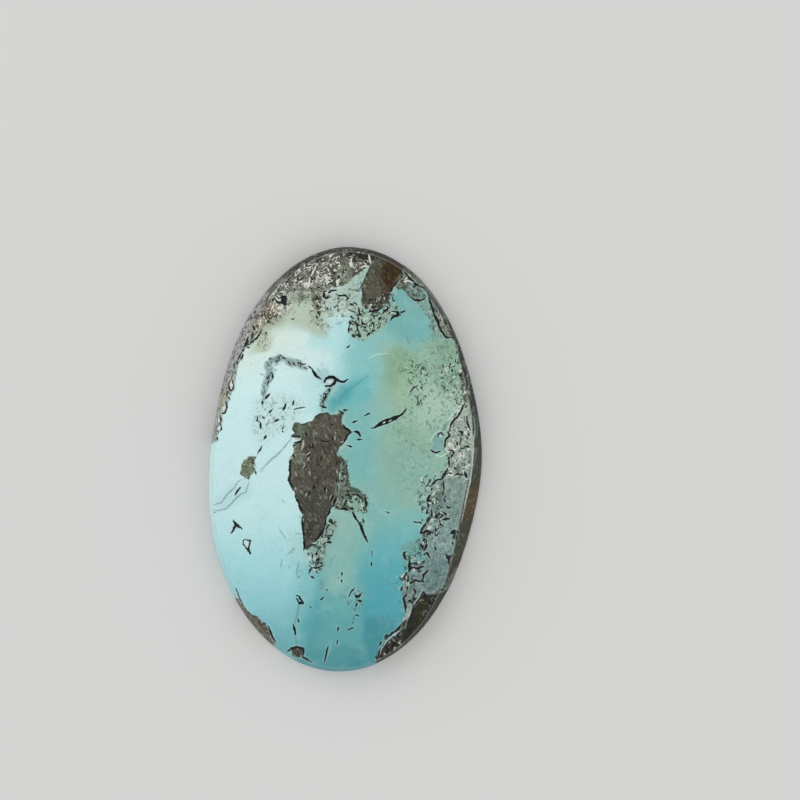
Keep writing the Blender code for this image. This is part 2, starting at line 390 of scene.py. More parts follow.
PALE_WASHES = (
    (((308, 328), (330, 316), (352, 316), (352, 350), (346, 384), (336, 384), (334, 358), (312, 348)),
     18.0, 0.7, seen(165, 213, 216)),
    (((296, 562), (316, 566), (318, 620), (306, 652), (288, 652), (292, 600)), 20.0, 0.55, seen(112, 174, 177)),
    (((238, 350), (250, 334), (276, 328), (300, 336), (290, 352), (262, 360), (240, 376)),
     20.0, 0.7, seen(207, 223, 213)),
    (((248, 352), (258, 328), (270, 312), (284, 298), (300, 288), (324, 290), (330, 306), (326, 336),
      (312, 336), (300, 330), (288, 326), (276, 332), (264, 346)), 13.0, 0.95, seen(174, 191, 171)),
    (((306, 296), (318, 292), (324, 300), (322, 322), (311, 322), (311, 306)), 9.0, 0.8, seen(150, 163, 143)),
    (((258, 326), (266, 316), (276, 306), (288, 298), (290, 312), (280, 322), (270, 330)), 9.0, 0.75,
     seen(152, 156, 138)),
    (((282, 298), (292, 288), (308, 288), (308, 302), (292, 306)), 6.0, 0.8, seen(142, 149, 133)),
    (((254, 336), (262, 328), (270, 328), (269, 342), (262, 350), (253, 348)), 9.0, 0.6, seen(174, 181, 160)),
    (((322, 290), (350, 288), (350, 306), (344, 314), (326, 314)), 8.0, 0.8, seen(167, 188, 175)),
    (((342, 290), (352, 270), (366, 262), (370, 270), (364, 284), (362, 304), (350, 308)),
     8.0, 0.95, seen(164, 189, 176)),
    (((290, 534), (306, 540), (312, 566), (300, 566), (292, 552)), 12.0, 0.4, seen(160, 192, 184)),
    (((252, 400), (272, 396), (300, 400), (298, 424), (276, 436), (258, 446), (250, 424)),
     18.0, 0.5, seen(178, 208, 204)),
    (((302, 374), (334, 364), (334, 386), (322, 410), (304, 412)), 12.0, 0.55, seen(172, 214, 214)),
    (((316, 374), (326, 373), (336, 376), (338, 386), (328, 391), (319, 384)), 5.0, 0.35,
     seen(118, 158, 160)),
    (((214, 500), (232, 484), (250, 478), (252, 490), (236, 502), (216, 514)), 9.0, 0.35, seen(160, 196, 198)),
)
print("washes:", len(TURQUOISE_WASHES) + len(PALE_WASHES) + 1)

# %% Washes over the rock: outline, width of the change in picture pixels, cover, colour
ROCK_WASHES = (
    (((200, 200), (412, 200), (412, 330), (300, 345), (200, 345)), 6.0, 1.0, seen(106, 107, 98)),
    (((278, 312), (290, 286), (310, 276), (335, 280), (340, 300), (300, 312)), 12.0, 0.9, seen(124, 128, 112)),
    (((336, 270), (346, 262), (358, 256), (352, 276), (344, 290), (334, 290)), 8.0, 0.8, seen(118, 126, 110)),
    (((290, 262), (320, 244), (352, 240), (372, 244), (350, 258), (322, 256), (300, 268)),
     9.0, 0.85, seen(84, 82, 73)),
    (((346, 238), (374, 240), (372, 262), (356, 258)), 7.0, 0.9, seen(68, 62, 50)),
    (((248, 334), (254, 318), (262, 304), (272, 297), (277, 303), (277, 314), (270, 325), (258, 336)),
     6.0, 1.0, seen(143, 136, 117)),
    (((258, 312), (264, 303), (272, 300), (273, 306), (264, 318)), 4.0, 0.8, seen(132, 122, 106)),
    (((236, 345), (244, 322), (254, 304), (264, 290), (268, 294), (256, 312), (250, 328), (244, 346)),
     5.0, 0.9, seen(150, 149, 140)),
    (((190, 330), (246, 325), (250, 345), (216, 450), (190, 450)), 3.0, 1.0, seen(154, 165, 158)),
    (((228, 384), (232, 384), (229, 399), (223, 410), (220, 404)), 4.0, 1.0, seen(160, 158, 132)),
    (((404, 240), (470, 300), (500, 404), (450, 404), (440, 330), (420, 292), (403, 272)),
     6.0, 1.0, seen(104, 110, 98)),
    (((402, 258), (412, 256), (424, 276), (414, 282), (403, 278)), 6.0, 1.0, seen(86, 80, 62)),
    (((438, 310), (446, 308), (454, 326), (452, 334), (444, 334)), 4.0, 0.7, seen(140, 146, 130)),
    (((404, 284), (412, 281), (424, 287), (428, 298), (420, 303), (409, 299)), 3.0, 1.0, seen(124, 147, 135)),
    (((286, 405), (356, 405), (340, 500), (318, 575), (296, 575), (280, 480)), 3.0, 1.0, seen(84, 81, 72)),
    (((296, 490), (340, 490), (330, 522), (312, 550), (300, 548)), 10.0, 0.9, seen(79, 78, 71)),
    (((290, 418), (312, 416), (310, 432), (300, 446), (290, 446)), 9.0, 0.9, seen(104, 116, 100)),
    (((304, 418), (344, 408), (350, 430), (336, 440), (308, 440)), 12.0, 0.7, seen(94, 92, 82)),
    (((288, 462), (300, 462), (306, 490), (298, 500), (288, 484)), 8.0, 0.8, seen(98, 98, 87)),
    (((288, 444), (300, 444), (304, 464), (289, 466)), 5.0, 0.9, seen(114, 121, 107)),
    (((342, 452), (353, 470), (355, 488), (340, 492), (339, 470)), 3.0, 1.0, seen(92, 101, 90)),
    (((334, 490), (350, 486), (370, 494), (370, 512), (334, 514)), 3.0, 1.0, seen(74, 95, 82)),
    (((334, 484), (345, 480), (347, 500), (342, 512), (332, 510)), 5.0, 0.8, seen(112, 121, 107)),
    (((235, 452), (262, 452), (262, 484), (235, 484)), 3.0, 1.0, seen(122, 133, 112)),
    (((355, 220), (420, 235), (412, 270), (392, 315), (355, 315)), 3.0, 1.0, seen(90, 89, 77)),
    (((372, 296), (392, 292), (392, 312), (376, 314)), 8.0, 0.8, seen(74, 74, 63)),
    (((345, 230), (420, 235), (406, 262), (386, 256), (366, 262), (352, 256)), 6.0, 0.9, seen(52, 47, 38)),
    (((383, 250), (406, 256), (408, 272), (401, 280), (394, 287), (385, 288), (380, 272)),
     9.0, 1.0, seen(66, 51, 34)),
    (((356, 298), (374, 303), (392, 296), (392, 312), (360, 313)), 5.0, 0.6, seen(112, 118, 100)),
    (((398, 260), (408, 262), (408, 274), (401, 276)), 5.0, 0.9, seen(80, 73, 60)),
    (((402, 275), (403, 281), (396, 288), (389, 295), (386, 291), (394, 283)), 2.5, 0.6, seen(88, 56, 34)),
    (((396, 278), (406, 278), (409, 288), (402, 292), (395, 289)), 2.5, 0.8, seen(104, 114, 98)),
    (((429, 494), (443, 490), (446, 504), (444, 516), (430, 518)), 7.0, 0.6, seen(92, 120, 104)),
    (((446, 496), (464, 496), (462, 524), (446, 526)), 9.0, 0.45, seen(102, 126, 120)),
    (((426, 562), (448, 558), (450, 582), (430, 592)), 9.0, 0.6, seen(90, 116, 116)),
    (((372, 640), (400, 628), (414, 604), (424, 590), (436, 592.5), (446, 589), (453, 578), (490, 556),
      (490, 620), (420, 690), (370, 690)), 3.0, 1.0, seen(48, 46, 30)),
    (((399, 631), (406, 634), (397, 646), (389, 655), (384, 665), (376, 662), (380, 650), (388, 639)),
     4.0, 0.95, seen(108, 109, 98)),
    (((372, 664), (382, 642), (400, 632), (408, 638), (398, 656), (380, 672)), 8.0, 0.8, seen(46, 47, 40)),
    (((430, 592), (450, 588), (446, 612), (434, 622)), 8.0, 0.6, seen(58, 59, 48)),
    (((416, 606), (426, 600), (430, 606), (422, 618), (413, 622)), 5.0, 0.7, seen(56, 54, 32)),
    (((405.5, 604), (409.5, 601), (412.5, 605), (411, 614), (407, 624), (403.5, 628), (403, 622), (406, 613)),
     2.0, 1.0, seen(150, 165, 159)),
    (((286, 644), (308, 644), (308, 660), (286, 660)), 3.0, 1.0, seen(80, 78, 70)),
    (((220, 585), (245, 585), (285, 645), (262, 660), (230, 635)), 3.0, 1.0, seen(104, 97, 86)),
)
# Washes for the side wall only. The lavender-grey on the upper left wall is the rock's own colour; the dark grey-brown
# over the top wall is painted shade, and the dark washes down the right wall are partly the brown rock and partly
# painted shade.
WALL_WASHES = (
    (((200, 290), (268, 290), (252, 330), (238, 362), (226, 392), (200, 400)), 6.0, 0.9, seen(158, 155, 158)),
    (((410, 240), (520, 240), (520, 700), (340, 700), (340, 640), (400, 600), (430, 560), (440, 500),
      (430, 440), (440, 330)), 3.0, 1.0, seen(62, 63, 53)),
    (((440, 262), (500, 330), (500, 440), (440, 440)), 8.0, 1.0, seen(46, 51, 44)),
    (((440, 440), (500, 440), (500, 482), (440, 482)), 8.0, 1.0, seen(64, 67, 56)),
    (((440, 486), (500, 486), (500, 518), (440, 518)), 20.0, 1.0, seen(82, 71, 51)),
    (((456, 522), (500, 522), (500, 562), (450, 562)), 6.0, 1.0, seen(66, 68, 57)),
    (((250, 200), (450, 200), (450, 275), (250, 275)), 16.0, 0.9, seen(54, 51, 44)),
    (((451, 560), (500, 545), (500, 700), (360, 700), (360, 600), (420, 600), (440, 592), (448, 586)),
     6.0, 1.0, seen(52, 52, 44)),
)
print("rock washes:", len(ROCK_WASHES) + len(WALL_WASHES))

# %% [markdown]
# ## Pepper
# Seen close, the rock is a felt of tiny pale flakes and dark gaps, and the green turquoise has a fainter
# dust of both; the dark beside each pale flake is its painted shadow. Where it lies and how strong it is
# are areas again: the noise that draws the flakes comes later, in the material.

# %% Peppered areas: outline, width of the change in pixels, strength of pale flakes and of dark gaps with the flakes' painted shadows
MOTTLED = (
    ((346, 302), (361, 305), (366, 311), (380, 311), (390, 303), (396, 306), (388, 318), (378, 330),
     (366, 337), (352, 336), (347, 320)),
    ((304, 549), (312, 545), (322, 531), (330, 519), (337, 526), (331, 542), (325, 556), (321, 571),
     (312, 572), (306, 561)),
    ((337, 482), (352, 487), (364, 490), (369, 502), (367, 512), (354, 513), (342, 507), (335, 510),
     (336, 497)),
)
PEPPERED = (
    (TOP_CRUST, 7.0, 0.75, 0.85),
    (((258, 334), (268, 318), (280, 300), (300, 288), (345, 288), (352, 300), (346, 318), (326, 332),
      (318, 328), (304, 306), (284, 310)), 12.0, 0.5, 0.5),
    (((306, 294), (318, 290), (326, 300), (326, 322), (316, 326), (310, 314)), 8.0, 0.75, 0.5),
    (((260, 326), (270, 312), (284, 298), (296, 294), (290, 312), (276, 324)), 8.0, 0.7, 0.6),
    (((284, 298), (300, 290), (312, 300), (316, 326), (300, 322), (286, 316)), 8.0, 0.35, 0.35),
    (((345, 300), (354, 268), (368, 262), (366, 284), (362, 306)), 6.0, 0.5, 0.4),
    (RIM_CRUST, 5.0, 0.85, 0.9),
    (RIM_LENS, 4.0, 0.3, 0.5),
    (LEFT_BAND, 3.0, 0.6, 0.65),
    (LEFT_SLIVER, 4.0, 0.5, 0.9),
    *((outline, 5.0, 0.55, 0.9) for outline in MOTTLED),
    (((447, 402), (470, 390), (474, 440), (473, 478), (442, 478)), 8.0, 0.75, 0.5),
    (((418, 478), (446, 470), (448, 500), (440, 530), (426, 560), (400, 600), (398, 580), (420, 530)),
     9.0, 0.6, 0.8),
    (((430, 480), (480, 470), (470, 560), (440, 596), (400, 620), (410, 570)), 10.0, 0.3, 0.25),
    (((396, 356), (446, 348), (480, 345), (470, 420), (440, 440), (400, 432)), 20.0, 0.3, 0.3),
    (((388, 420), (440, 430), (440, 490), (400, 496)), 20.0, 0.2, 0.2),
    (((254, 402), (276, 398), (300, 404), (290, 424), (262, 446), (252, 424)), 12.0, 0.15, 0.35),
    (((402, 360), (424, 356), (430, 376), (424, 408), (410, 412), (406, 388)), 12.0, 0.5, 0.6),
    (((440, 362), (462, 356), (466, 410), (452, 416), (440, 390)), 8.0, 0.6, 0.6),
    (((400, 340), (462, 336), (462, 366), (440, 362)), 12.0, 0.2, 0.25),
    (TOP_LOBE, 3.0, 0.06, 0.35),
    (((358, 289), (374, 296), (393, 287), (398, 296), (390, 313), (360, 313)), 7.0, 0.6, 0.9),
    (LOWER_RIGHT, 4.0, 0.08, 0.8),
    (((399, 631), (406, 634), (397, 646), (389, 655), (384, 665), (376, 662), (380, 650), (388, 639)),
     4.0, 0.45, 1.0),
    (MAIN_WEDGE, 3.0, 0.12, 0.3),
    (WEDGE_STRIP, 4.0, 0.5, 0.9),
    (SMALL_OVAL, 3.0, 0.3, 0.6),
    (((344, 590), (362, 588), (362, 610), (350, 626)), 12.0, 0.15, 0.4),
    (((416, 302), (428, 298), (440, 316), (447, 338), (436, 336), (427, 322)), 7.0, 0.5, 0.6),
    (((253, 338), (262, 328), (272, 328), (270, 344), (260, 350)), 7.0, 0.4, 0.45),
)
print("peppered areas:", len(PEPPERED))

# %% [markdown]
# ## Seams, veins and specks
# The thin black marks are cracks that iron filled, and most are no wider than a hair. They are drawn as
# pen strokes with a half width in pixels. Grey-blue veins are the same cracks seen through a skin of
# turquoise. The white spots are grains of quartz that took a better polish than the rest.

# %% Black seams in the middle of the stone: half width and path, in picture pixels
MIDDLE_SEAMS = (
    (2.3, ((376, 427), (380, 424.3), (385, 421.8), (390, 420.3), (396, 418.6))),
    (1.1, ((390, 418.5), (395, 416.5), (399, 416), (403, 413), (406, 409.5))),
    (0.6, ((371, 428.5), (376, 427))), (1.3, ((312, 369), (314, 373), (316.5, 376), (320, 378.5))),
    (1.5, ((324.5, 382), (326, 378.8), (329, 377), (333, 377.2), (336, 379.4), (334.6, 383), (331, 386),
           (326, 386))),
    (1.1, ((336, 378), (340, 381.5), (344, 382), (347.5, 379.5))),
    (1.0, ((269.5, 394), (265.5, 398.5))), (1.1, ((262.5, 401), (262.5, 404))),
    (0.8, ((271.5, 410.5), (269.5, 412.5))), (1.0, ((278.5, 419.5), (274, 421.5))),
    (1.1, ((285.8, 404.5), (283, 409.5))), (0.8, ((293.8, 401), (292.5, 405))),
    (1.1, ((266, 436), (264.5, 439))), (0.9, ((261.3, 446.5), (258, 453.5))),
    (1.0, ((260.5, 423), (260.3, 428))), (0.7, ((257.5, 416.5), (256.5, 420.5), (260, 422.5))),
    (0.7, ((283.5, 427.3), (281.5, 428.6))), (0.6, ((282, 431), (283, 432))),
    (0.6, ((294.5, 409.5), (299.5, 408), (305, 407))), (0.9, ((262.5, 416.5), (264, 418.5))),
    (0.7, ((271.5, 373.5), (272.8, 376), (272, 379))),
    (1.3, ((233.5, 521), (236, 524.5), (241.5, 528.5))), (1.0, ((236, 524.5), (231.5, 533))),
    (0.8, ((244, 539.5), (250.5, 540.5), (248.5, 547), (250, 553), (243, 544), (244, 539.5))),
    (0.7, ((236.5, 589), (238.5, 596), (242, 604), (246.5, 610.5))), (0.8, ((247, 611), (251, 615))),
    (0.9, ((268, 626), (270, 630.5), (272.5, 636.5), (275.5, 642))),
    (1.3, ((287.5, 651.5), (291, 648.5), (297, 647.5), (302.5, 648.5), (303.6, 652.5), (302.4, 656.5))),
    (1.2, ((353, 513), (356, 519))), (1.3, ((357, 520), (361, 526.5), (364.5, 535.7), (367.4, 541.5))),
    (0.7, ((363, 519), (364, 523.5))), (0.9, ((352, 494), (358, 495), (362, 499))),
    (1.0, ((365, 498), (366.5, 503), (366, 508))), (0.6, ((371.7, 551), (372.2, 555))),
    (0.7, ((371.5, 562), (371.5, 566))), (0.5, ((386, 512), (390, 513))), (0.8, ((347.3, 347.9), (350.2, 345))),
    (0.6, ((365, 415.3), (369.5, 413))), (0.8, ((353, 422.5), (356.5, 421))),
    (1.0, ((343.5, 409.9), (346.8, 409.8))), (1.3, ((354.5, 431.5), (358, 432), (360.5, 436))),
    (0.7, ((357.5, 439.3), (362, 439.5))), (0.6, ((347, 445.5), (352, 446.5))),
    (1.0, ((296.8, 595.2), (299, 596), (300.8, 599.5), (302.4, 603), (299.9, 604), (297.6, 600.8),
           (297, 598.4))),
    (1.4, ((301.5, 602), (302.6, 603.6))), (0.9, ((298.3, 618.5), (298.5, 622))),
    (1.2, ((293.5, 624.5), (294.5, 629), (295.5, 634.5))), (0.8, ((310.6, 607), (311.5, 608))),
    (1.1, ((353.6, 588.7), (352.4, 590.3))), (0.9, ((351.2, 591.4), (350.4, 593.4))),
    (0.7, ((349.8, 594.4), (349.2, 596.4))), (1.5, ((356, 595.4), (357, 598))),
    (1.1, ((358.8, 596.6), (360.4, 594))), (1.2, ((358, 600.8), (361, 601.4))),
    (0.9, ((356.8, 604), (356, 606))), (0.9, ((356, 615), (358, 615.8))), (0.7, ((338.5, 627), (337.5, 630.5))),
    (0.7, ((353, 627.5), (348, 629.5))), (0.6, ((337.5, 640.5), (336.8, 643.5))),
    (0.8, ((327.8, 646), (326.5, 654), (324.3, 661.5))), (0.9, ((303, 657.5), (311, 661.5))),
    (0.8, ((326.2, 589), (327.2, 590.4))), (0.7, ((320.5, 600.4), (323.2, 597.6))),
    (0.9, ((341.8, 572.8), (341.8, 575.4))), (0.8, ((341.8, 579.4), (341.8, 582))),
)

# %% Flecks of the faint arc at the upper left
ARC_FLECKS = (
    (0.6, ((283, 357), (285, 358.7))), (0.8, ((288, 361), (289.4, 363.8))), (0.8, ((293.8, 363), (295, 365))),
    (0.5, ((301, 364), (305, 364))), (0.9, ((308.8, 366), (310.6, 368))), (0.5, ((322.5, 400), (323.8, 402.5))),
    (1.0, ((320.6, 406), (325.6, 407.5))), (1.1, ((272, 375), (273, 377.5))),
)

# %% Black lines round the wedge and in it
WEDGE_SEAMS = (
    (1.0, ((342.4, 424.5), (344.6, 427.6), (350, 430.8), (351.2, 432.2))),
    (0.9, ((351.2, 432.2), (348.6, 434.8), (346.4, 438.4), (343, 443.3))),
    (0.9, ((292.2, 436.1), (298.6, 436.1))), (0.9, ((294.2, 442.8), (299.3, 442.4), (302.1, 440))),
    (0.7, ((289.7, 463), (289.5, 473))), (0.9, ((339, 411), (340.5, 411.6))), (1.1, ((341.2, 413), (343, 413.6))),
    (1.1, ((289.2, 470), (289.9, 474.5), (288.5, 480.3), (290.4, 484.3), (292.6, 489))),
    (0.8, ((295, 495.4), (297.3, 500.8), (299, 504.8))), (1.1, ((299, 504.8), (300.9, 510.2), (302.2, 513))),
    (0.8, ((302.6, 516), (302.4, 524), (302.9, 531.2), (303.6, 538))), (1.1, ((333, 495.9), (330.8, 500.8))),
    (1.1, ((336.1, 496.8), (335, 501.5), (333.2, 506))), (0.9, ((330.3, 510.2), (327.2, 516))),
    (1.0, ((325.9, 521), (324.6, 525))), (1.1, ((324, 529), (321.4, 533.4), (318.7, 537), (315.1, 542))),
    (1.0, ((303.9, 540), (304.2, 550))), (0.9, ((305.5, 433.5), (306.1, 434.8))), (1.0, ((331.4, 424.2), (332.6, 424.5))),
    (0.9, ((332.8, 437.8), (332.7, 439.8))), (0.7, ((321.8, 440.8), (326, 441.3), (329.9, 440.8))),
    (0.8, ((312, 444.5), (312.4, 448))), (0.8, ((309.4, 445.8), (309.8, 447.6))), (0.8, ((307, 456.8), (310, 454))),
    (0.9, ((304.1, 468.6), (305, 466.8))), (1.0, ((317.6, 464.6), (318.4, 465.6))), (0.8, ((321.2, 456.8), (320.8, 459.3))),
    (0.8, ((336.2, 464), (337, 461.5))), (1.0, ((313.5, 485.4), (314, 487.3), (312.2, 488.8))),
    (0.9, ((324.4, 487.3), (324.4, 490), (325, 492.2))), (0.9, ((336, 479), (336.2, 482))),
    (0.9, ((304.7, 492.3), (305, 493.6))), (0.8, ((309.2, 491.8), (308.2, 495))), (1.0, ((292.8, 454.8), (293.4, 456.4))),
    (1.1, ((291, 460.7), (289.4, 463.4))), (1.2, ((341, 508.8), (343.5, 508.2), (347.8, 510.3))),
    (1.1, ((350.4, 508), (353, 509.4))), (1.1, ((337, 507), (338, 508))), (1.0, ((342, 496.8), (342.9, 497.8))),
    (0.9, ((345, 502.2), (347, 500.6))), (1.0, ((344, 503.8), (345.2, 505))), (1.1, ((323.4, 544.4), (325.2, 543.2))),
    (1.2, ((327.2, 542.5), (330.6, 542.2))), (1.1, ((319.2, 549), (320.4, 547.6))), (0.9, ((317, 553), (316.6, 555))),
    (0.9, ((312.2, 555.5), (312.4, 557.6))), (0.8, ((316.3, 559.9), (319.7, 558.1))), (1.0, ((317.2, 563), (318.2, 563.6))),
    (0.8, ((311.7, 567.3), (315.1, 568.2), (319.7, 567.3), (323.2, 565.6))), (1.1, ((310.8, 569.4), (309.2, 572.7))),
    (1.1, ((316.4, 572), (317.3, 573))), (0.7, ((310.3, 575.8), (314, 578.3))), (1.0, ((325.2, 535.2), (325.8, 535.8))),
    (1.0, ((330.8, 535.8), (331.7, 535.2))),
)

# %% Black lines of the upper edge, the right-hand rock and the lower right
UPPER_SEAMS = (
    (1.2, ((404, 271), (409, 277), (413, 282), (418, 285), (425, 289), (428, 293))),
    (1.2, ((428, 292), (430, 302), (434, 313), (437, 320), (440, 328), (444, 335), (447, 338), (451, 337))),
    (0.8, ((428, 292), (434, 300), (440, 310), (443, 316), (445, 325))),
    (0.8, ((424, 283), (432, 293), (440, 305), (447, 318))), (1.3, ((445, 320), (446.5, 325))),
    (0.9, ((411, 297), (415, 300), (421, 300.5), (425, 298))), (0.8, ((413, 287), (419, 285), (425, 288))),
    (1.2, ((391, 320), (394, 316), (399, 315), (398, 312), (393, 311))), (1.0, ((401, 312.5), (405, 311))),
    (0.8, ((349.8, 322), (349.5, 325.5))), (1.0, ((348.7, 327.8), (349, 331.5))),
    (0.8, ((352.2, 320.6), (355.4, 323.3), (359.4, 325))), (0.8, ((361.4, 319.3), (362.5, 323.3), (366.5, 325.5))),
    (0.8, ((357.1, 327.3), (358.9, 331.8))), (0.9, ((365.1, 327.9), (365.8, 328.5))), (0.9, ((367, 335.5), (370, 333))),
    (0.8, ((354.2, 302.8), (356.5, 304.6))), (0.9, ((358.5, 307.7), (358.8, 311.5), (359.4, 315.3))),
    (0.9, ((360.8, 314), (361.6, 314.9))), (0.8, ((363.9, 312), (364.7, 312.8))), (0.8, ((372, 321.5), (374, 326))),
    (1.1, ((369, 312), (375, 311), (380, 309))), (1.1, ((383, 313), (387, 309), (390, 307))), (0.9, ((379, 319), (381, 317))),
    (1.4, ((324.3, 291.2), (323.7, 295.6), (325.9, 298.3), (329, 297))), (0.9, ((327.7, 293.4), (331.3, 290.7), (335.7, 290))),
    (0.9, ((336.6, 294.3), (341, 295.6), (345.5, 295.4), (347.8, 298.3), (346, 300.5))), (1.2, ((338, 298), (338.5, 298.7))),
    (0.8, ((324, 303), (324.2, 303.8))), (0.8, ((337, 305.3), (337.3, 306))), (0.8, ((334, 307), (334.5, 307.5))),
    (0.8, ((327.2, 308.8), (327.5, 309.5))), (1.3, ((316.9, 316.6), (317.5, 317.8))), (0.7, ((312.3, 305.7), (312.8, 306.3))),
    (0.8, ((292.5, 319), (294.5, 318.5))), (3.4, ((281.5, 299), (283.5, 301.5), (285, 304))), (2.0, ((276, 299), (279, 302.5))), (1.5, ((283.5, 296), (286.5, 298))), (0.9, ((311.3, 288.6), (311.8, 289.4))),
    (0.8, ((286.6, 286.6), (287.6, 287.6))), (0.6, ((389, 292), (394, 286), (402, 277))),
    (0.9, ((456, 346.5), (456.3, 349))), (0.9, ((457, 352), (457, 354))), (0.8, ((452, 369.5), (452, 372))),
    (2.0, ((463, 367), (465, 371), (466, 376))), (1.0, ((466, 377), (467.5, 383), (467, 388), (464, 392))),
    (1.1, ((248, 337), (246.6, 341), (245, 346.5))), (1.0, ((242.6, 349.6), (243.4, 350.4))),
    (0.8, ((241.5, 353), (240, 356), (238, 359))), (0.7, ((243, 354.5), (241.5, 360))), (0.9, ((234, 363), (234, 368))),
    (0.8, ((262, 330), (257.7, 337), (253, 341.5), (249, 344.6))), (0.9, ((265.3, 332.2), (265.7, 333))),
    (0.7, ((262.4, 318), (262.8, 319))), (0.7, ((272.8, 323.4), (273.2, 324))),
    (0.9, ((231, 380), (228.6, 384), (229, 389), (231.5, 391), (233.5, 387), (233, 381))),
    (0.8, ((226.5, 393), (228, 396), (230, 399))), (0.8, ((226, 402), (227.3, 407), (225, 413), (221.5, 413))),
    (0.8, ((220, 416), (221, 420), (219, 424))), (0.8, ((221, 425), (221.5, 429), (219, 432))), (0.9, ((217, 437), (217.2, 440))),
    (0.9, ((240.5, 487.5), (237, 491.5), (235, 495))), (1.2, ((255.7, 471.6), (255.8, 473))), (0.7, ((214.6, 513), (215.6, 513))),
    (0.6, ((421, 387.5), (421.6, 389))), (0.6, ((425.2, 396), (425.9, 396.7))), (0.6, ((410, 392), (413, 388), (417, 386))),
)
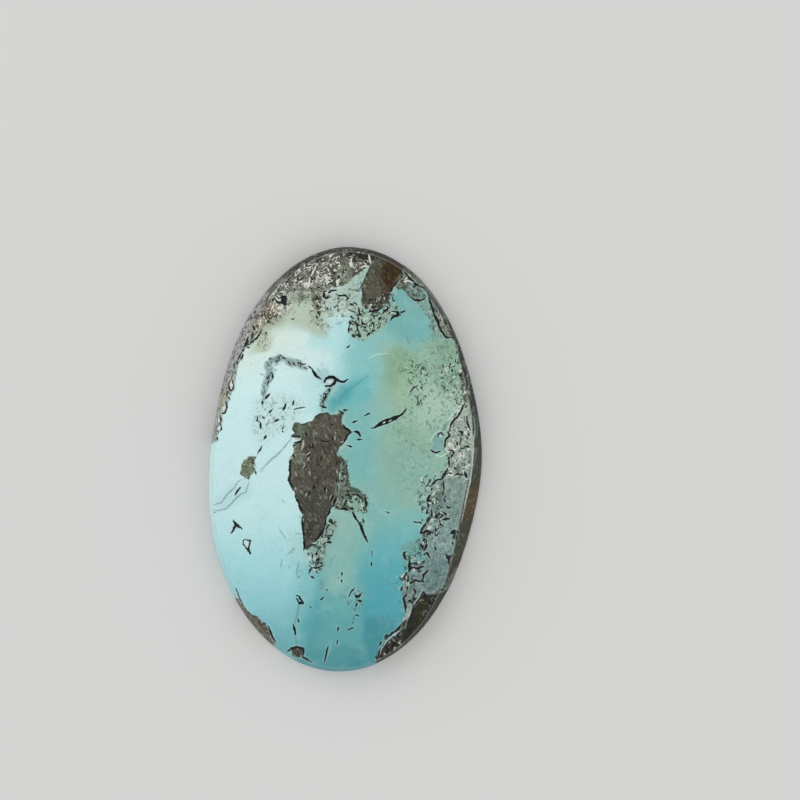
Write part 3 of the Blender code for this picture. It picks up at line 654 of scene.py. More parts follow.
ROCK_SEAMS = (
    (0.9, ((464.3, 404), (461.7, 409.7), (458.2, 416.8), (453.6, 420.4), (451, 425), (449.5, 430.6))),
    (1.1, ((448, 432.7), (450, 435.2), (447.4, 438.3), (445.2, 440.3))), (0.8, ((445.2, 440.3), (444.9, 445.9), (444.4, 447.4))),
    (0.8, ((449, 450.5), (452, 450.5), (454, 452), (452.5, 456), (450.5, 457.5))), (0.8, ((448.7, 457.7), (449, 462), (449, 466.3))),
    (1.2, ((447.4, 468.9), (446, 472.4), (443.4, 476.5), (441.8, 479.3))), (1.0, ((441.8, 479.3), (437.8, 479.7), (435.2, 481.2), (431.6, 485.3))),
    (0.9, ((443.9, 482.2), (443.9, 489.4))), (1.2, ((430.1, 495), (427.6, 500.6), (430.6, 501.1))), (1.2, ((428.3, 504), (428.8, 506.5))),
    (0.8, ((427.2, 510), (427, 514))), (1.0, ((431.6, 510.5), (431.9, 512.5), (431.4, 515.5))), (1.1, ((434.8, 515.8), (436.6, 518))),
    (0.8, ((439.3, 512.4), (438.3, 516.4))), (1.2, ((429.6, 517.5), (427.6, 521.5))), (1.1, ((426, 523), (421.9, 529.7), (420.9, 533.3))),
    (1.1, ((421.5, 533), (427, 531), (432.7, 532.3))), (0.8, ((426.5, 533.8), (430.5, 534.6))), (0.8, ((424, 535.8), (426.5, 536.8))),
    (1.2, ((424.8, 539), (423.2, 540.8))), (1.4, ((421.8, 544.5), (423, 548.5))), (0.9, ((426.8, 544.5), (426, 547.5))),
    (1.0, ((435.3, 547.5), (436, 549.5))), (1.0, ((435.5, 528.5), (435.8, 531))), (0.9, ((436.3, 498), (437, 499.5))),
    (1.0, ((444.5, 499.8), (445.3, 501.3))), (0.8, ((444.9, 496), (445, 497.6))), (1.1, ((447.4, 506.6), (448.4, 507.8), (450.2, 508))),
    (0.9, ((444, 512.4), (446.4, 514.6))), (1.1, ((443.4, 519.5), (446.4, 518.8), (449.4, 518.6))), (0.8, ((439.3, 521), (441, 524.5), (443, 525.8))),
    (2.2, ((451.5, 532.6), (454.5, 531.6), (458, 532))), (2.8, ((454.6, 535.4), (456.2, 538))), (1.0, ((452.2, 542.8), (453, 544.2))),
    (0.6, ((413.5, 521.4), (417, 522.2), (421.5, 522.8))), (1.2, ((406, 552), (403.6, 553.2), (404.4, 557), (406.4, 559.6))),
    (1.5, ((409.4, 561.5), (410.1, 570.6))), (1.1, ((407, 572.7), (404, 578.8))), (1.0, ((408, 576.7), (407.6, 582.9))),
    (1.2, ((402.4, 587), (401.2, 590))), (1.0, ((407.6, 586.6), (407, 590))), (1.1, ((407, 593.6), (403.5, 599.2), (405, 603.3), (406, 606.3), (405.4, 612))),
    (1.0, ((407.6, 602.2), (409.6, 600.7), (412.7, 603.8))), (1.0, ((412.7, 567), (416.2, 568.6), (420.3, 567), (423.4, 566.5))),
    (1.4, ((414.4, 563), (416.2, 564.2))), (0.8, ((420.3, 563.8), (421.5, 563.3))), (1.0, ((424.4, 560.6), (423.4, 562.6))),
    (1.0, ((418.6, 571.9), (421, 571.2))), (0.9, ((428.5, 569.6), (426, 572.7), (423.4, 574.7), (422.9, 579.8))),
    (1.0, ((410.6, 583.9), (414.7, 580.3), (420.3, 581.3), (424.2, 582.3))), (0.9, ((414, 588.6), (415.3, 590.5), (415.2, 594))),
    (1.1, ((412.7, 597), (414.2, 599.7), (415.9, 598.6))), (0.9, ((427, 545.5), (425.8, 549), (424.5, 551))),
    (1.0, ((424.5, 554.5), (427.3, 553.3), (430, 557.5))), (2.0, ((447, 555.4), (449, 558.4), (452, 555.6))), (1.8, ((449, 560), (449.6, 565))),
    (1.0, ((423, 592.2), (420.6, 598.4), (415.8, 604.2), (413.3, 606.3))), (1.3, ((413.3, 606.3), (411.8, 615.3), (407.9, 624), (406.8, 628.6))),
    (1.5, ((434, 600.4), (434.6, 602))), (1.5, ((429.6, 602), (430.6, 603.8))), (1.2, ((429, 610.4), (429.2, 612.4))), (1.4, ((425.5, 594.5), (426.6, 597))),
    (0.9, ((400.6, 624.5), (397.6, 630), (392.4, 633))), (0.9, ((389.4, 635.7), (385.3, 637.8))), (0.9, ((381.2, 641.8), (379.4, 645))),
    (1.3, ((440, 589.4), (444.4, 590.4))), (0.9, ((446, 584), (448, 578.5))), (1.2, ((392, 640.5), (394, 646), (391, 650))),
    (1.1, ((386, 647), (388.5, 650.5), (386.5, 655))), (0.9, ((397, 636), (400, 638.5))), (1.0, ((382.5, 655), (384, 660))),
    (1.0, ((390, 634.5), (393, 632.5))), (0.9, ((385, 638.5), (386.5, 634.5))),
    (1.0, ((396, 644.6), (398, 646.5))), (1.2, ((408.8, 631.5), (412.6, 629))), (0.8, ((466.8, 417.3), (467.6, 424), (469.9, 429.6))),
    (1.0, ((459.2, 431.6), (462.8, 432.7), (461.7, 435.7))), (0.9, ((468, 433.6), (468.8, 434.8))), (0.9, ((466.4, 437.4), (467.2, 438.4))),
    (1.1, ((456.6, 442.2), (457.2, 444.6))), (0.8, ((461.2, 448.4), (464.8, 447.6))), (0.9, ((465.8, 446), (469.4, 447.4))),
    (1.3, ((464.6, 472.6), (467, 477.2))), (0.7, ((448, 473.2), (452, 473.6))), (0.9, ((455, 475), (458.7, 473.8), (462.8, 475.6))),
    (0.9, ((454.6, 468), (455.8, 469))), (0.7, ((438.4, 436.4), (438.8, 433.6), (441.2, 432.6), (443, 434.6))),
    (0.7, ((430.6, 449.6), (432.5, 452), (436.7, 452.8), (440.5, 451))), (0.9, ((473.5, 407.7), (473, 415.3), (475.5, 416.8), (476.5, 424.5), (476.2, 436))),
    (0.6, ((476, 448.5), (475, 453.6), (474, 461.2), (473, 468.9))),
)
print("black strokes:", len(MIDDLE_SEAMS) + len(WEDGE_SEAMS) + len(UPPER_SEAMS) + len(ROCK_SEAMS))

# %% Grey veins, folds, pale lines, white grains and the wedge's painted glints
GREY_VEINS = (
    (0.7, ((277.5, 359.4), (282, 358.8))), (0.7, ((272, 360.6), (277, 362.5))), (0.8, ((270.6, 364), (272.5, 367))),
    (0.8, ((291, 360), (292.5, 358.8))), (0.8, ((296, 359.4), (301, 361))), (0.8, ((305, 367), (307.5, 368.8))),
    (0.7, ((273.8, 368.8), (277, 370.6))), (0.8, ((265.6, 382.5), (268, 386))), (0.7, ((264.4, 388.8), (265.6, 391))),
    (0.8, ((317.5, 368.8), (320, 372))), (0.8, ((320, 395), (321, 397.5))), (0.8, ((327, 399), (327, 402.5))),
    (0.7, ((267.5, 374), (271, 373.2))), (0.8, ((286, 364), (292, 365.5))), (0.8, ((275, 365), (279, 363.5))),
    (0.9, ((292.5, 436), (287, 444), (278, 454), (271, 460), (266, 465), (260, 471))),
    (0.9, ((241, 480), (238, 482), (232.5, 489.5), (227, 494.5), (222, 502), (214.5, 504.5))),
    (0.9, ((248.5, 483), (246.5, 491.5), (239.5, 495), (232.5, 502), (225.5, 509), (214.5, 511.5))),
    (0.7, ((299, 562), (296, 574), (299, 578))), (0.6, ((281.5, 560), (280.5, 567))), (0.6, ((293.5, 549.5), (287, 555))),
    (0.6, ((295.6, 533.4), (300.8, 534.3))), (0.6, ((279, 528.5), (286, 539))), (0.6, ((282, 500.5), (285, 503))),
    (1.2, ((299, 603), (298, 612), (294.5, 624))), (1.0, ((295, 634), (297, 650))), (0.9, ((260, 374), (264, 375))),
    (0.6, ((335.2, 555.8), (330.6, 562.1), (328.9, 567.3))), (0.9, ((293, 548), (294.4, 550))), (1.3, ((298, 577.8), (300, 576))),
    (0.8, ((291.2, 552), (292.2, 552.8))), (0.7, ((288.8, 568), (290, 566.8))), (0.7, ((299.2, 571), (301.3, 571))),
    (0.7, ((338.7, 576), (338.6, 579))), (1.8, ((320.5, 581), (323.6, 585))), (1.4, ((320, 587), (322, 588.6))),
    (1.3, ((443, 429), (445.5, 426), (447.8, 423))), (0.6, ((455, 422), (458.5, 428))), (0.6, ((459, 422), (462.5, 428.5))),
    (0.6, ((456.5, 427), (459, 431))), (0.7, ((451.8, 436.5), (456, 438.5))), (0.6, ((343.5, 392), (338, 403))),
)
ARC_PATHS = (
    (3.6, ((264, 398), (265, 388), (268, 379), (271, 373), (269, 367), (272, 361), (281, 358), (290, 361), (300, 364),
           (309, 368))),
    (2.8, ((329, 386), (326, 392), (323, 400), (323, 409))),
)
FOLD_LINES = (
    (1.5, ((368, 375.5), (362, 380), (357, 384.5), (351, 388), (345.5, 392), (341.5, 396), (338, 404))),
)
# Pale lines. Those along the rim, at the top, upper left, upper right, right and lower right, are painted highlights
# where the edge catches the light; the others are pale lines in the stone.
PALE_LINES = (
    (0.6, ((368.5, 358.5), (372, 356.5), (377, 354.8), (383, 353.6), (388, 353.3))),
    (1.0, ((473.5, 416.8), (474.7, 424.5), (475, 430.6), (474, 438.3), (473.4, 448), (472.4, 463.8), (471.4, 471.4),
           (470.4, 479.6), (469, 487), (465.9, 500.6), (463.5, 513.4), (461.2, 522.6))),
    (0.8, ((463.3, 401), (460.2, 406.6), (456.1, 410.7), (452, 415.8), (448.5, 418.9), (440.8, 426.5))),
    (0.8, ((454, 448.5), (446, 454), (440.8, 456.6), (435.7, 455.1))), (0.7, ((463, 472.5), (463.8, 477), (466.5, 479.6))),
    (0.7, ((430.5, 442), (434, 434), (440, 430.8), (445, 431.5))),
    (0.7, ((398.6, 631.6), (392, 636.2), (386.8, 640.8), (381.7, 648.5), (380.2, 653.6))),
    (0.6, ((425.6, 625.5), (415.9, 635.2), (407.8, 642.9), (398.6, 650), (395.5, 652.5))),
    (0.6, ((453.5, 575.7), (448.4, 587.4), (444.8, 595), (440.2, 605.3))),
    (0.6, ((352, 247), (372, 250), (390, 257), (400, 263))), (0.6, ((284, 278), (279, 285), (275.5, 292), (272, 298.5))),
    (0.6, ((268, 291), (262, 301))), (0.6, ((404, 264), (416, 273), (428, 286), (440, 303), (448, 318), (454, 334))),
    (0.7, ((295.5, 447), (287, 456), (279, 463))),
)
WHITE_SPOTS = (
    (2.0, ((329.2, 381.6), (330.4, 381.6))), (0.8, ((389.5, 421), (391, 420.5))), (0.8, ((384, 422.8), (384.8, 422))),
    (1.1, ((246.5, 542.5), (246, 545.5))), (1.8, ((231.3, 382.5), (231.2, 388))), (1.4, ((224.5, 406.5), (223.8, 410))),
    (1.5, ((218.6, 419.5), (218.6, 422))), (1.4, ((219, 426.8), (219, 430))), (0.9, ((228.6, 395.5), (229.4, 396.5))),
    (0.9, ((275.5, 296.8), (277, 299), (278.7, 300.4), (280, 299))), (1.4, ((281.3, 304.8), (282, 308))),
    (1.2, ((277.5, 308), (280, 308.4))), (0.9, ((287.8, 298), (288.3, 298.7))), (0.9, ((286.7, 306.3), (287.2, 307))),
    (1.1, ((309.9, 278.9), (308.1, 287))), (0.9, ((311.7, 284.6), (311.5, 286))), (1.0, ((309.2, 292.2), (310, 292.4))),
    (1.0, ((298, 270.5), (300, 269))), (1.0, ((299.5, 282), (302, 281))), (0.9, ((320, 282), (321.5, 280.5))),
    (0.9, ((331, 281.5), (332.5, 280.5))), (0.8, ((326, 279), (327, 284))), (0.9, ((318.5, 303.5), (319.2, 305))),
    (0.9, ((322, 264.5), (324.5, 263))), (0.8, ((327.5, 268), (329, 271))), (0.8, ((304.5, 262), (304.5, 267))),
    (0.8, ((317, 264), (312.6, 272.7), (311, 276))), (0.9, ((369, 255), (370.5, 262))), (0.9, ((372, 251), (373, 254))),
    (0.8, ((281, 292), (283, 291.6), (285, 292.5))), (0.9, ((285.4, 285.4), (286.2, 286.6))), (0.8, ((360, 268), (364, 266), (369, 266))),
    (0.9, ((404.5, 281.5), (408, 280.5), (413, 282.5))), (1.1, ((465, 391), (465.3, 393.5))), (0.8, ((440, 435.6), (440.6, 436.4))),
    (0.7, ((314.6, 569.4), (315.6, 569.8))), (0.8, ((429, 502.8), (430.6, 503.4))), (0.8, ((433.4, 514.2), (434.2, 515.4))),
)
# Pale glints in the wedge: painted highlights where the rough ironstone catches the light.
WEDGE_GLINTS = (
    (0.9, ((295.5, 439.2), (298, 439.5), (300.9, 439))), (1.2, ((303.6, 441), (302.6, 445), (301, 449))),
    (0.7, ((334.8, 436.4), (334.8, 439.4))), (0.8, ((341, 442.4), (344.8, 441))), (0.5, ((310.8, 444.5), (311, 448))),
    (0.8, ((307, 455), (309.6, 452.6))), (0.7, ((307, 460.4), (308.8, 457.8))), (0.6, ((302.5, 468), (304, 465.6))),
    (0.6, ((309, 471.5), (309.6, 475))), (0.6, ((294.8, 473.4), (296.2, 475.6))), (0.6, ((337, 470.5), (337.4, 474.5))),
    (1.0, ((295.2, 488.7), (295.5, 489.3))), (0.8, ((305.4, 495.8), (306.4, 492.8))), (0.7, ((330, 499.2), (331.2, 495.8))),
    (0.7, ((332.6, 502), (334.4, 497.6))), (0.6, ((325.9, 490), (326.2, 492))), (1.1, ((291.6, 457.4), (289.6, 459.6))),
    (0.8, ((343.6, 421.5), (344.6, 425.5))), (0.8, ((341, 448.4), (344.5, 447))), (0.8, ((322, 545), (324.6, 540.8))),
)
print("grey and pale strokes:", len(GREY_VEINS) + len(PALE_LINES) + len(WHITE_SPOTS))

# %% [markdown]
# ## One skin for the whole stone
# The dome is a rectangular grid bent into the oval. A grid of rings and spokes would crowd its points at
# the middle, while the bent grid keeps them about 0.1 mm apart everywhere, which is fine enough for a
# vein. The wall and the back go on below it as rings, and one flat face closes the back.

# %% Points of the bare stone
def dome_grid():
    """The dome: reach runs from the middle to the ridge and turn runs round it, both read off the bent grid."""
    reach, turn = unit_disc(STEPS_ACROSS, STEPS_ALONG)
    angle = np.arctan2(HALF_LENGTH * np.sin(turn), HALF_WIDTH * np.cos(turn))
    ridge = ridge_radius(angle)
    plan = reach * ridge
    return np.stack([plan * np.cos(angle), plan * np.sin(angle), dome_height(reach)], axis=-1), (1 - reach) * ridge


def wall_rings(ridge_points):
    """The rings below the ridge: down the slightly bellied wall, round the small bevel and in under the back."""
    angle = np.arctan2(ridge_points[:, 1], ridge_points[:, 0])
    foot, ridge = edge_radius(angle), ridge_radius(angle)
    shares = np.arange(1, WALL_STEPS + 1) / WALL_STEPS
    radii = [ridge + (foot - ridge) * share + WALL_BELLY * math.sin(math.pi * share) for share in shares]
    heights = [RIDGE_HEIGHT + (BACK_BEVEL - RIDGE_HEIGHT) * share for share in shares]
    radii += [foot - BACK_BEVEL, foot - 2 * BACK_BEVEL]
    heights += [0.0, 0.0]
    return [
        np.stack([radius * np.cos(angle), radius * np.sin(angle), np.full_like(angle, height)], axis=-1)
        for radius, height in zip(radii, heights)
    ]


dome, from_ridge = dome_grid()
index = np.arange(from_ridge.size).reshape(from_ridge.shape)
ridge_index = np.concatenate([index[0, :-1], index[:-1, -1], index[-1, :0:-1], index[:0:-1, 0]])
rings = wall_rings(dome.reshape(-1, 3)[ridge_index])
points = np.concatenate([dome.reshape(-1, 3), *rings])
points[:, 0] -= MIDDLE_X
points[:, 1] -= MIDDLE_Y
on_wall = np.arange(len(points)) >= from_ridge.size
under = np.arange(len(points)) >= len(points) - len(ridge_index)
print("points:", len(points))

# %% Faces: the dome's squares, the wall's bands and the flat back
ring_length = len(ridge_index)
ring_index = from_ridge.size + np.arange(len(rings) * ring_length).reshape(len(rings), ring_length)
loops = np.concatenate([ridge_index[None], ring_index])
upper, lower = loops[:-1], loops[1:]
next_upper, next_lower = np.roll(upper, -1, axis=1), np.roll(lower, -1, axis=1)
dome_faces = np.stack([index[:-1, :-1], index[:-1, 1:], index[1:, 1:], index[1:, :-1]], axis=-1).reshape(-1, 4)
wall_faces = np.stack([upper, lower, next_lower, next_upper], axis=-1).reshape(-1, 4)

stone_mesh = bpy.data.meshes.new("turquoise_stone")
stone_mesh.from_pydata(points * MM, [], [*dome_faces.tolist(), *wall_faces.tolist(), loops[-1, ::-1].tolist()])
stone_mesh.shade_smooth()
outward = np.empty(len(points) * 3)
stone_mesh.vertex_normals.foreach_get("vector", outward)
outward = outward.reshape(-1, 3)
print("triangles:", 2 * (len(dome_faces) + len(wall_faces)) + ring_length - 2, "back faces:", outward[-1].round(2))

# %% [markdown]
# ## Every point learns what it lies in
# Now the marks are measured from each point's place in the picture. The fields are kept in millimetres
# as attributes of the mesh, because attributes survive when the part leaves Blender. A hairline is finer
# than the grid, so its points also keep on which side of it they lie: that number runs evenly through
# zero, and the line can be found between two points. The flat back has marks of its own, so its points
# forget those of the front.

# %% Smooth random numbers over the stone
LATTICE = 32


def lumps(size, seed):
    """Smooth random heights from -1 to 1: numbers on a cubic lattice of this spacing, blended between its corners."""
    lattice = np.random.default_rng(seed).uniform(-1.0, 1.0, (LATTICE, LATTICE, LATTICE))
    cell, share = np.divmod(points / size, 1.0)
    share = share * share * (3.0 - 2.0 * share)
    total = np.zeros(len(points))
    for corner in itertools.product((0, 1), repeat=3):
        weight = np.where(corner, share, 1.0 - share).prod(axis=1)
        total += weight * lattice[tuple((cell.astype(int) + corner).T % LATTICE)]
    return total


def wandered(amount, size, seed):
    """The picture places pushed about by lumps, by this many pixels, so that straight outlines wander."""
    push = [lumps(size, seed + step) + 0.5 * lumps(0.45 * size, seed + step + 10) for step in (0, 1)]
    return u + amount * push[0], v + amount * push[1]


u, v = seen_at(*points.T)
soft_place = wandered(4.0, 1.7, 40)
edge_place = wandered(0.9, 0.55, 60)
line_place = wandered(0.4, 0.4, 80)
print("largest wander in pixels:", round(float(np.abs(soft_place[0] - u).max()), 1))

# %% Distances to patches and strokes
fields = {
    "iron": deepest(*edge_place, IRON_PATCHES) * MM_PER_PIXEL,
    "host": deepest(*edge_place, HOST_PATCHES) * MM_PER_PIXEL,
}
lines = {
    "seam": MIDDLE_SEAMS + ARC_FLECKS + WEDGE_SEAMS + UPPER_SEAMS + ROCK_SEAMS,
    "vein": GREY_VEINS,
    "fold": FOLD_LINES,
    "pale": PALE_LINES,
    "glint": WEDGE_GLINTS,
    "white": WHITE_SPOTS,
}
LINE_THINNING = {"seam": 0.06, "vein": 0.1, "fold": 0.1, "pale": 0.07, "glint": 0.2, "white": 0.2}
thinner = np.where(on_wall, RIDGE_HEIGHT - points[:, 2], 0.0)
for name, strokes in lines.items():
    inside, width, side = stroke_distance(*line_place, strokes)
    fields[name] = inside * MM_PER_PIXEL - LINE_THINNING[name] * thinner
    fields[name + "_width"] = width * MM_PER_PIXEL - LINE_THINNING[name] * thinner
    fields[name + "_side"] = side * MM_PER_PIXEL
for name in fields:
    fields[name][under] = FAR_OUT
fields["ridge"] = np.where(on_wall, points[:, 2] - RIDGE_HEIGHT, -np.resize(from_ridge, len(points)))
fields["back"] = under.astype(float)
fields["wall"] = on_wall.astype(float)
print("fields:", len(fields), "points on the back:", int(under.sum()))

# %% Strength of the pepper
arc = np.clip(stroke_distance(*soft_place, ARC_PATHS)[0] / 3.0 + 0.5, 0.0, 1.0)
pale_pepper, dark_pepper = 0.35 * arc, 0.9 * arc
for outline, softness, pale_strength, dark_strength in PEPPERED:
    share = soft_zone(*soft_place, outline, softness)
    pale_pepper = np.maximum(pale_pepper, pale_strength * share)
    dark_pepper = np.maximum(dark_pepper, dark_strength * share)
fields["pale_pepper"] = np.where(under, 0.0, pale_pepper * np.where(on_wall, 0.4, 1.0))
fields["dark_pepper"] = np.where(under, 0.0, dark_pepper)
print("mean pepper:", round(float(pale_pepper.mean()), 2), round(float(dark_pepper.mean()), 2))

# %% Lay the washes
ARC_GREY = seen(112, 138, 136)
ARC_COVER = 0.8


def by_height(stops):
    """A colour for every point that blends straight from one stop to the next down the picture."""
    heights = [height for height, _ in stops]
    return np.stack([np.interp(v, heights, [colour[part] for _, colour in stops]) for part in range(3)], axis=-1)


def wash(tint, washes, where=1.0):
    """Each wash in turn laid over a tint by its soft zone times its cover."""
    for outline, softness, cover, colour in washes:
        share = soft_zone(*soft_place, outline, softness) * cover * where
        tint = tint + share[:, None] * (np.array(colour) - tint)
    return tint


turquoise_tint = wash(by_height(TEAL_BY_HEIGHT), TURQUOISE_WASHES)
ice_share = soft_zone(*soft_place, ICE_ZONE, ICE_SOFTNESS)[:, None]
turquoise_tint += ice_share * (by_height(ICE_BY_HEIGHT) - turquoise_tint)
turquoise_tint = wash(turquoise_tint, PALE_WASHES)
turquoise_tint += ARC_COVER * arc[:, None] * (np.array(ARC_GREY) - turquoise_tint)
rock_tint = wash(wash(by_height(ROCK_BY_HEIGHT), ROCK_WASHES), WALL_WASHES, fields["wall"])
tints = {"turquoise_tint": turquoise_tint, "rock_tint": rock_tint}
print("mean turquoise:", turquoise_tint.mean(axis=0).round(2), "mean rock:", rock_tint.mean(axis=0).round(2))

# %% [markdown]
# ## Relief
# The wheel rubs soft rock away faster than hard stone. So the brown patches lie a little low and are
# rough, the cracks are fine grooves, and even the polish has a gentle swell that breaks up reflections.
# These are small heights along the surface's normal, made from the same fields, so colour and form agree.

# %% Heights in millimetres
IRON_SINK = 0.2
IRON_SLOPE = 0.35
IRON_ROUGHNESS = 0.06
HOST_ROUGHNESS = 0.05
SEAM_GROOVE = 0.07
POLISH_SWELL = 0.015
RIM_RELIEF = 0.2  # share of the relief that is left at the ridge and on the wall
RIM_FADE = 1.2


def climb(value, low, high):
    """A share that climbs smoothly from 0 at low to 1 at high."""
    share = np.clip((value - low) / (high - low), 0.0, 1.0)
    return share * share * (3.0 - 2.0 * share)


iron = climb(fields["iron"], 0.0, IRON_SLOPE)
height = iron * (IRON_ROUGHNESS * (0.6 * lumps(0.55, 1) + 0.4 * lumps(0.27, 2)) - IRON_SINK)
height += (1.0 - iron) * fields["dark_pepper"] * HOST_ROUGHNESS * (0.6 * lumps(0.6, 3) + 0.4 * lumps(0.3, 4))
height -= SEAM_GROOVE * climb(fields["seam"], -0.1, 0.06) * climb(fields["seam_width"], 0.04, 0.14)
height += POLISH_SWELL * lumps(5.0, 8)
rim = np.where(on_wall, 0.0, climb(-fields["ridge"], 0.0, RIM_FADE))
height *= RIM_RELIEF + (1.0 - RIM_RELIEF) * rim
height[points[:, 2] < 0.5 * BACK_BEVEL] = 0.0
raised = points + outward * height[:, None]
stone_mesh.vertices.foreach_set("co", (raised * MM).ravel())
for name, field in fields.items():
    stone_mesh.attributes.new(name, "FLOAT", "POINT").data.foreach_set("value", field)
for name, tint in tints.items():
    colours = np.column_stack([tint, np.ones(len(points))])
    stone_mesh.attributes.new(name, "FLOAT_COLOR", "POINT").data.foreach_set("color", colours.ravel())
stone_mesh.update()
stone = bpy.data.objects.new("turquoise_stone", stone_mesh)
bpy.context.scene.collection.objects.link(stone)
print("relief in mm:", round(height.min(), 3), "to", round(height.max(), 3))

# %% [markdown]
# ## Paint in layers
# The colour is built the way the stone grew: turquoise first, then host rock, then ironstone, and last
# the fine seams. Each layer is laid over the one below by a share that one of the fields gives, and
# noise frays its edge. The noise reads Object coordinates in millimetres, so grain has its true size on
# the wall and the dome alike.

# %% Short forms for shader nodes
stone_finish = bpy.data.materials.new("polished turquoise")
stone_finish.use_nodes = True
tree = stone_finish.node_tree
tree.nodes.clear()


def add_node(kind, inputs, **settings):
    """Add a node, set its options, and give each input a value or another node's output."""
    node = tree.nodes.new("ShaderNode" + kind)
    for name, value in settings.items():
        setattr(node, name, value)
    for name, value in inputs.items():
        if isinstance(value, bpy.types.NodeSocket):
            tree.links.new(value, node.inputs[name])
        else:
            node.inputs[name].default_value = value
    return node


def calc(operation, *values):
    """One step of arithmetic."""
    return add_node("Math", dict(enumerate(values)), operation=operation).outputs[0]


def read(name, output="Fac"):
    """A field of the mesh."""
    return add_node("Attribute", {}, attribute_name=name).outputs[output]


def share_of(value, low, high):
    """A share that climbs smoothly from 0 at low to 1 at high."""
    inputs = {"Value": value, "From Min": low, "From Max": high}
    return add_node("MapRange", inputs, interpolation_type="SMOOTHSTEP").outputs["Result"]


def band(value, low, high, soft):
    """A share that is 1 between low and high and fades out over a soft margin at both ends."""
    return calc("MULTIPLY", share_of(value, low - soft, low), calc("SUBTRACT", 1.0, share_of(value, high, high + soft)))


def lay(share, under, over):
    """One colour laid over another by a share."""
    pair = [value if isinstance(value, bpy.types.NodeSocket) else (*value, 1.0) for value in (under, over)]
    return add_node("Mix", {0: share, 6: pair[0], 7: pair[1]}, data_type="RGBA").outputs[2]


def times(colour, factor):
    """A colour made darker or lighter."""
    return add_node("VectorMath", {0: colour, "Scale": factor}, operation="SCALE").outputs[0]


def noise(size, detail=2.0, distortion=0.0, vector=None):
    """Cloudy noise from 0 to 1 whose blobs are about this many millimetres wide."""
    inputs = {"Vector": vector or place, "Scale": 1.0 / size, "Detail": detail, "Distortion": distortion}
    return add_node("TexNoise", inputs).outputs[0]


def swing(size, amount, **options):
    """Noise turned into plus or minus about this amount."""
    return calc("MULTIPLY", calc("SUBTRACT", noise(size, **options), 0.5), 4.0 * amount)


LINE_REACH = 0.09  # millimetres by which the grid may miss a line's middle
SEAM_SPREAD = 0.015  # millimetres that the stain of a black seam spreads to each side


def line_share(name, soft, spread=0.0, frayed=1.0):
    """How much of a fine stroke covers a spot: its half width less the distance to its middle line."""
    across = calc("SUBTRACT", read(name + "_width"), calc("ABSOLUTE", read(name + "_side")))
    field = calc("MINIMUM", across, calc("ADD", read(name), LINE_REACH))
    return share_of(calc("MULTIPLY_ADD", fine_fray, frayed, field), -soft - spread, soft - spread)


object_place = add_node("TexCoord", {}).outputs["Object"]
place = add_node("VectorMath", {0: object_place, "Scale": 1.0 / MM}, operation="SCALE").outputs[0]
fray = swing(0.45, 0.08, detail=3.0, distortion=0.5)
fine_fray = swing(0.2, 0.025)
print("nodes so far:", len(tree.nodes))

# %% The turquoise itself: faint clouds, and a dust of darker grains
CLOUD_WHITE = (0.66, 0.82, 0.77)
GRAIN_GREEN = (0.14, 0.27, 0.24)

cloud = noise(1.3, 4.0, 0.6)
paint = read("turquoise_tint", "Color")
paint = lay(calc("MULTIPLY", share_of(cloud, 0.5, 0.8), 0.12), paint, CLOUD_WHITE)
paint = lay(calc("MULTIPLY", share_of(cloud, 0.5, 0.25), 0.08), paint, GRAIN_GREEN)
dust = calc("MULTIPLY", share_of(noise(0.3, 1.0), 0.66, 0.74), share_of(noise(2.4, 2.0), 0.45, 0.6))
paint = lay(calc("MULTIPLY", dust, 0.35), paint, GRAIN_GREEN)
speckle = calc("ADD", 1.0, swing(0.17, 0.05, detail=1.0))
paint = times(paint, speckle)
print("nodes so far:", len(tree.nodes))

# %% [markdown]
# ## Grain of the rock
# The flakes and gaps come from one noise. Its level lines wander like worms: a narrow band above the
# middle level is pale, the band just below it is dark, so every flake has its shadow beside it. A second
# noise cuts the long worms into short flakes.

# %% Host rock and flakes
FLAKE_GREEN = (0.58, 0.66, 0.56)
FLAKE_WHITE = (0.70, 0.70, 0.63)
GAP_AND_SHADOW_DARK = (0.014, 0.022, 0.018)

bent = add_node("VectorMath", {0: place, 1: (1.0, 0.82, 1.0)}, operation="MULTIPLY").outputs[0]
worm_level = noise(0.62, 1.0, 1.1, bent)
pale_strength, dark_strength = read("pale_pepper"), read("dark_pepper")
pale_cut = share_of(calc("MULTIPLY_ADD", pale_strength, 0.16, noise(0.42, 1.0)), 0.58, 0.64)
dark_cut = share_of(calc("MULTIPLY_ADD", dark_strength, 0.16, noise(0.47, 1.0, 0.3)), 0.57, 0.63)
pale_flake = calc("MULTIPLY", band(worm_level, 0.512, 0.585, 0.02), pale_cut)
# The dark band just below each pale one: the painted shadow beside every flake, and dark gaps where no pale flake lies.
dark_gap_and_shadow = calc("MULTIPLY", band(worm_level, 0.41, 0.488, 0.02), dark_cut)
pit = share_of(noise(0.26, 1.0), 0.60, 0.68)

rock = read("rock_tint", "Color")
rock_tone = noise(0.4, 3.0, 0.3)
rock = lay(share_of(rock_tone, 0.5, 0.34), rock, times(rock, 0.72))
rock = lay(share_of(rock_tone, 0.52, 0.68), rock, times(rock, 1.3))
cloudy_rock = swing(1.6, 0.1, detail=2.0)
rock = times(rock, calc("ADD", 1.0, cloudy_rock))
host_field = calc("ADD", calc("ADD", read("host"), fray), swing(1.1, 0.1, detail=2.0))
host_share = share_of(host_field, -0.04, 0.06)
paint = lay(host_share, paint, rock)
print("nodes so far:", len(tree.nodes))

# %% [markdown]
# ## Ironstone
# The brown patches are soft and grainy, with streaks that all lean the same way; the brightest of the
# streaks are painted glints, where the rough surface catches the light. Their very edge is painted nearly
# black in places, and the turquoise just outside is a little bleached.

# %% Ironstone
IRON_BLACK = (0.012, 0.016, 0.013)
# A pale tint, for the bleached turquoise round the patches and seams, and for the painted highlights along the rim.
BLEACH_AND_HIGHLIGHT = (0.66, 0.82, 0.77)
STREAK_TURN = math.radians(-24.0)

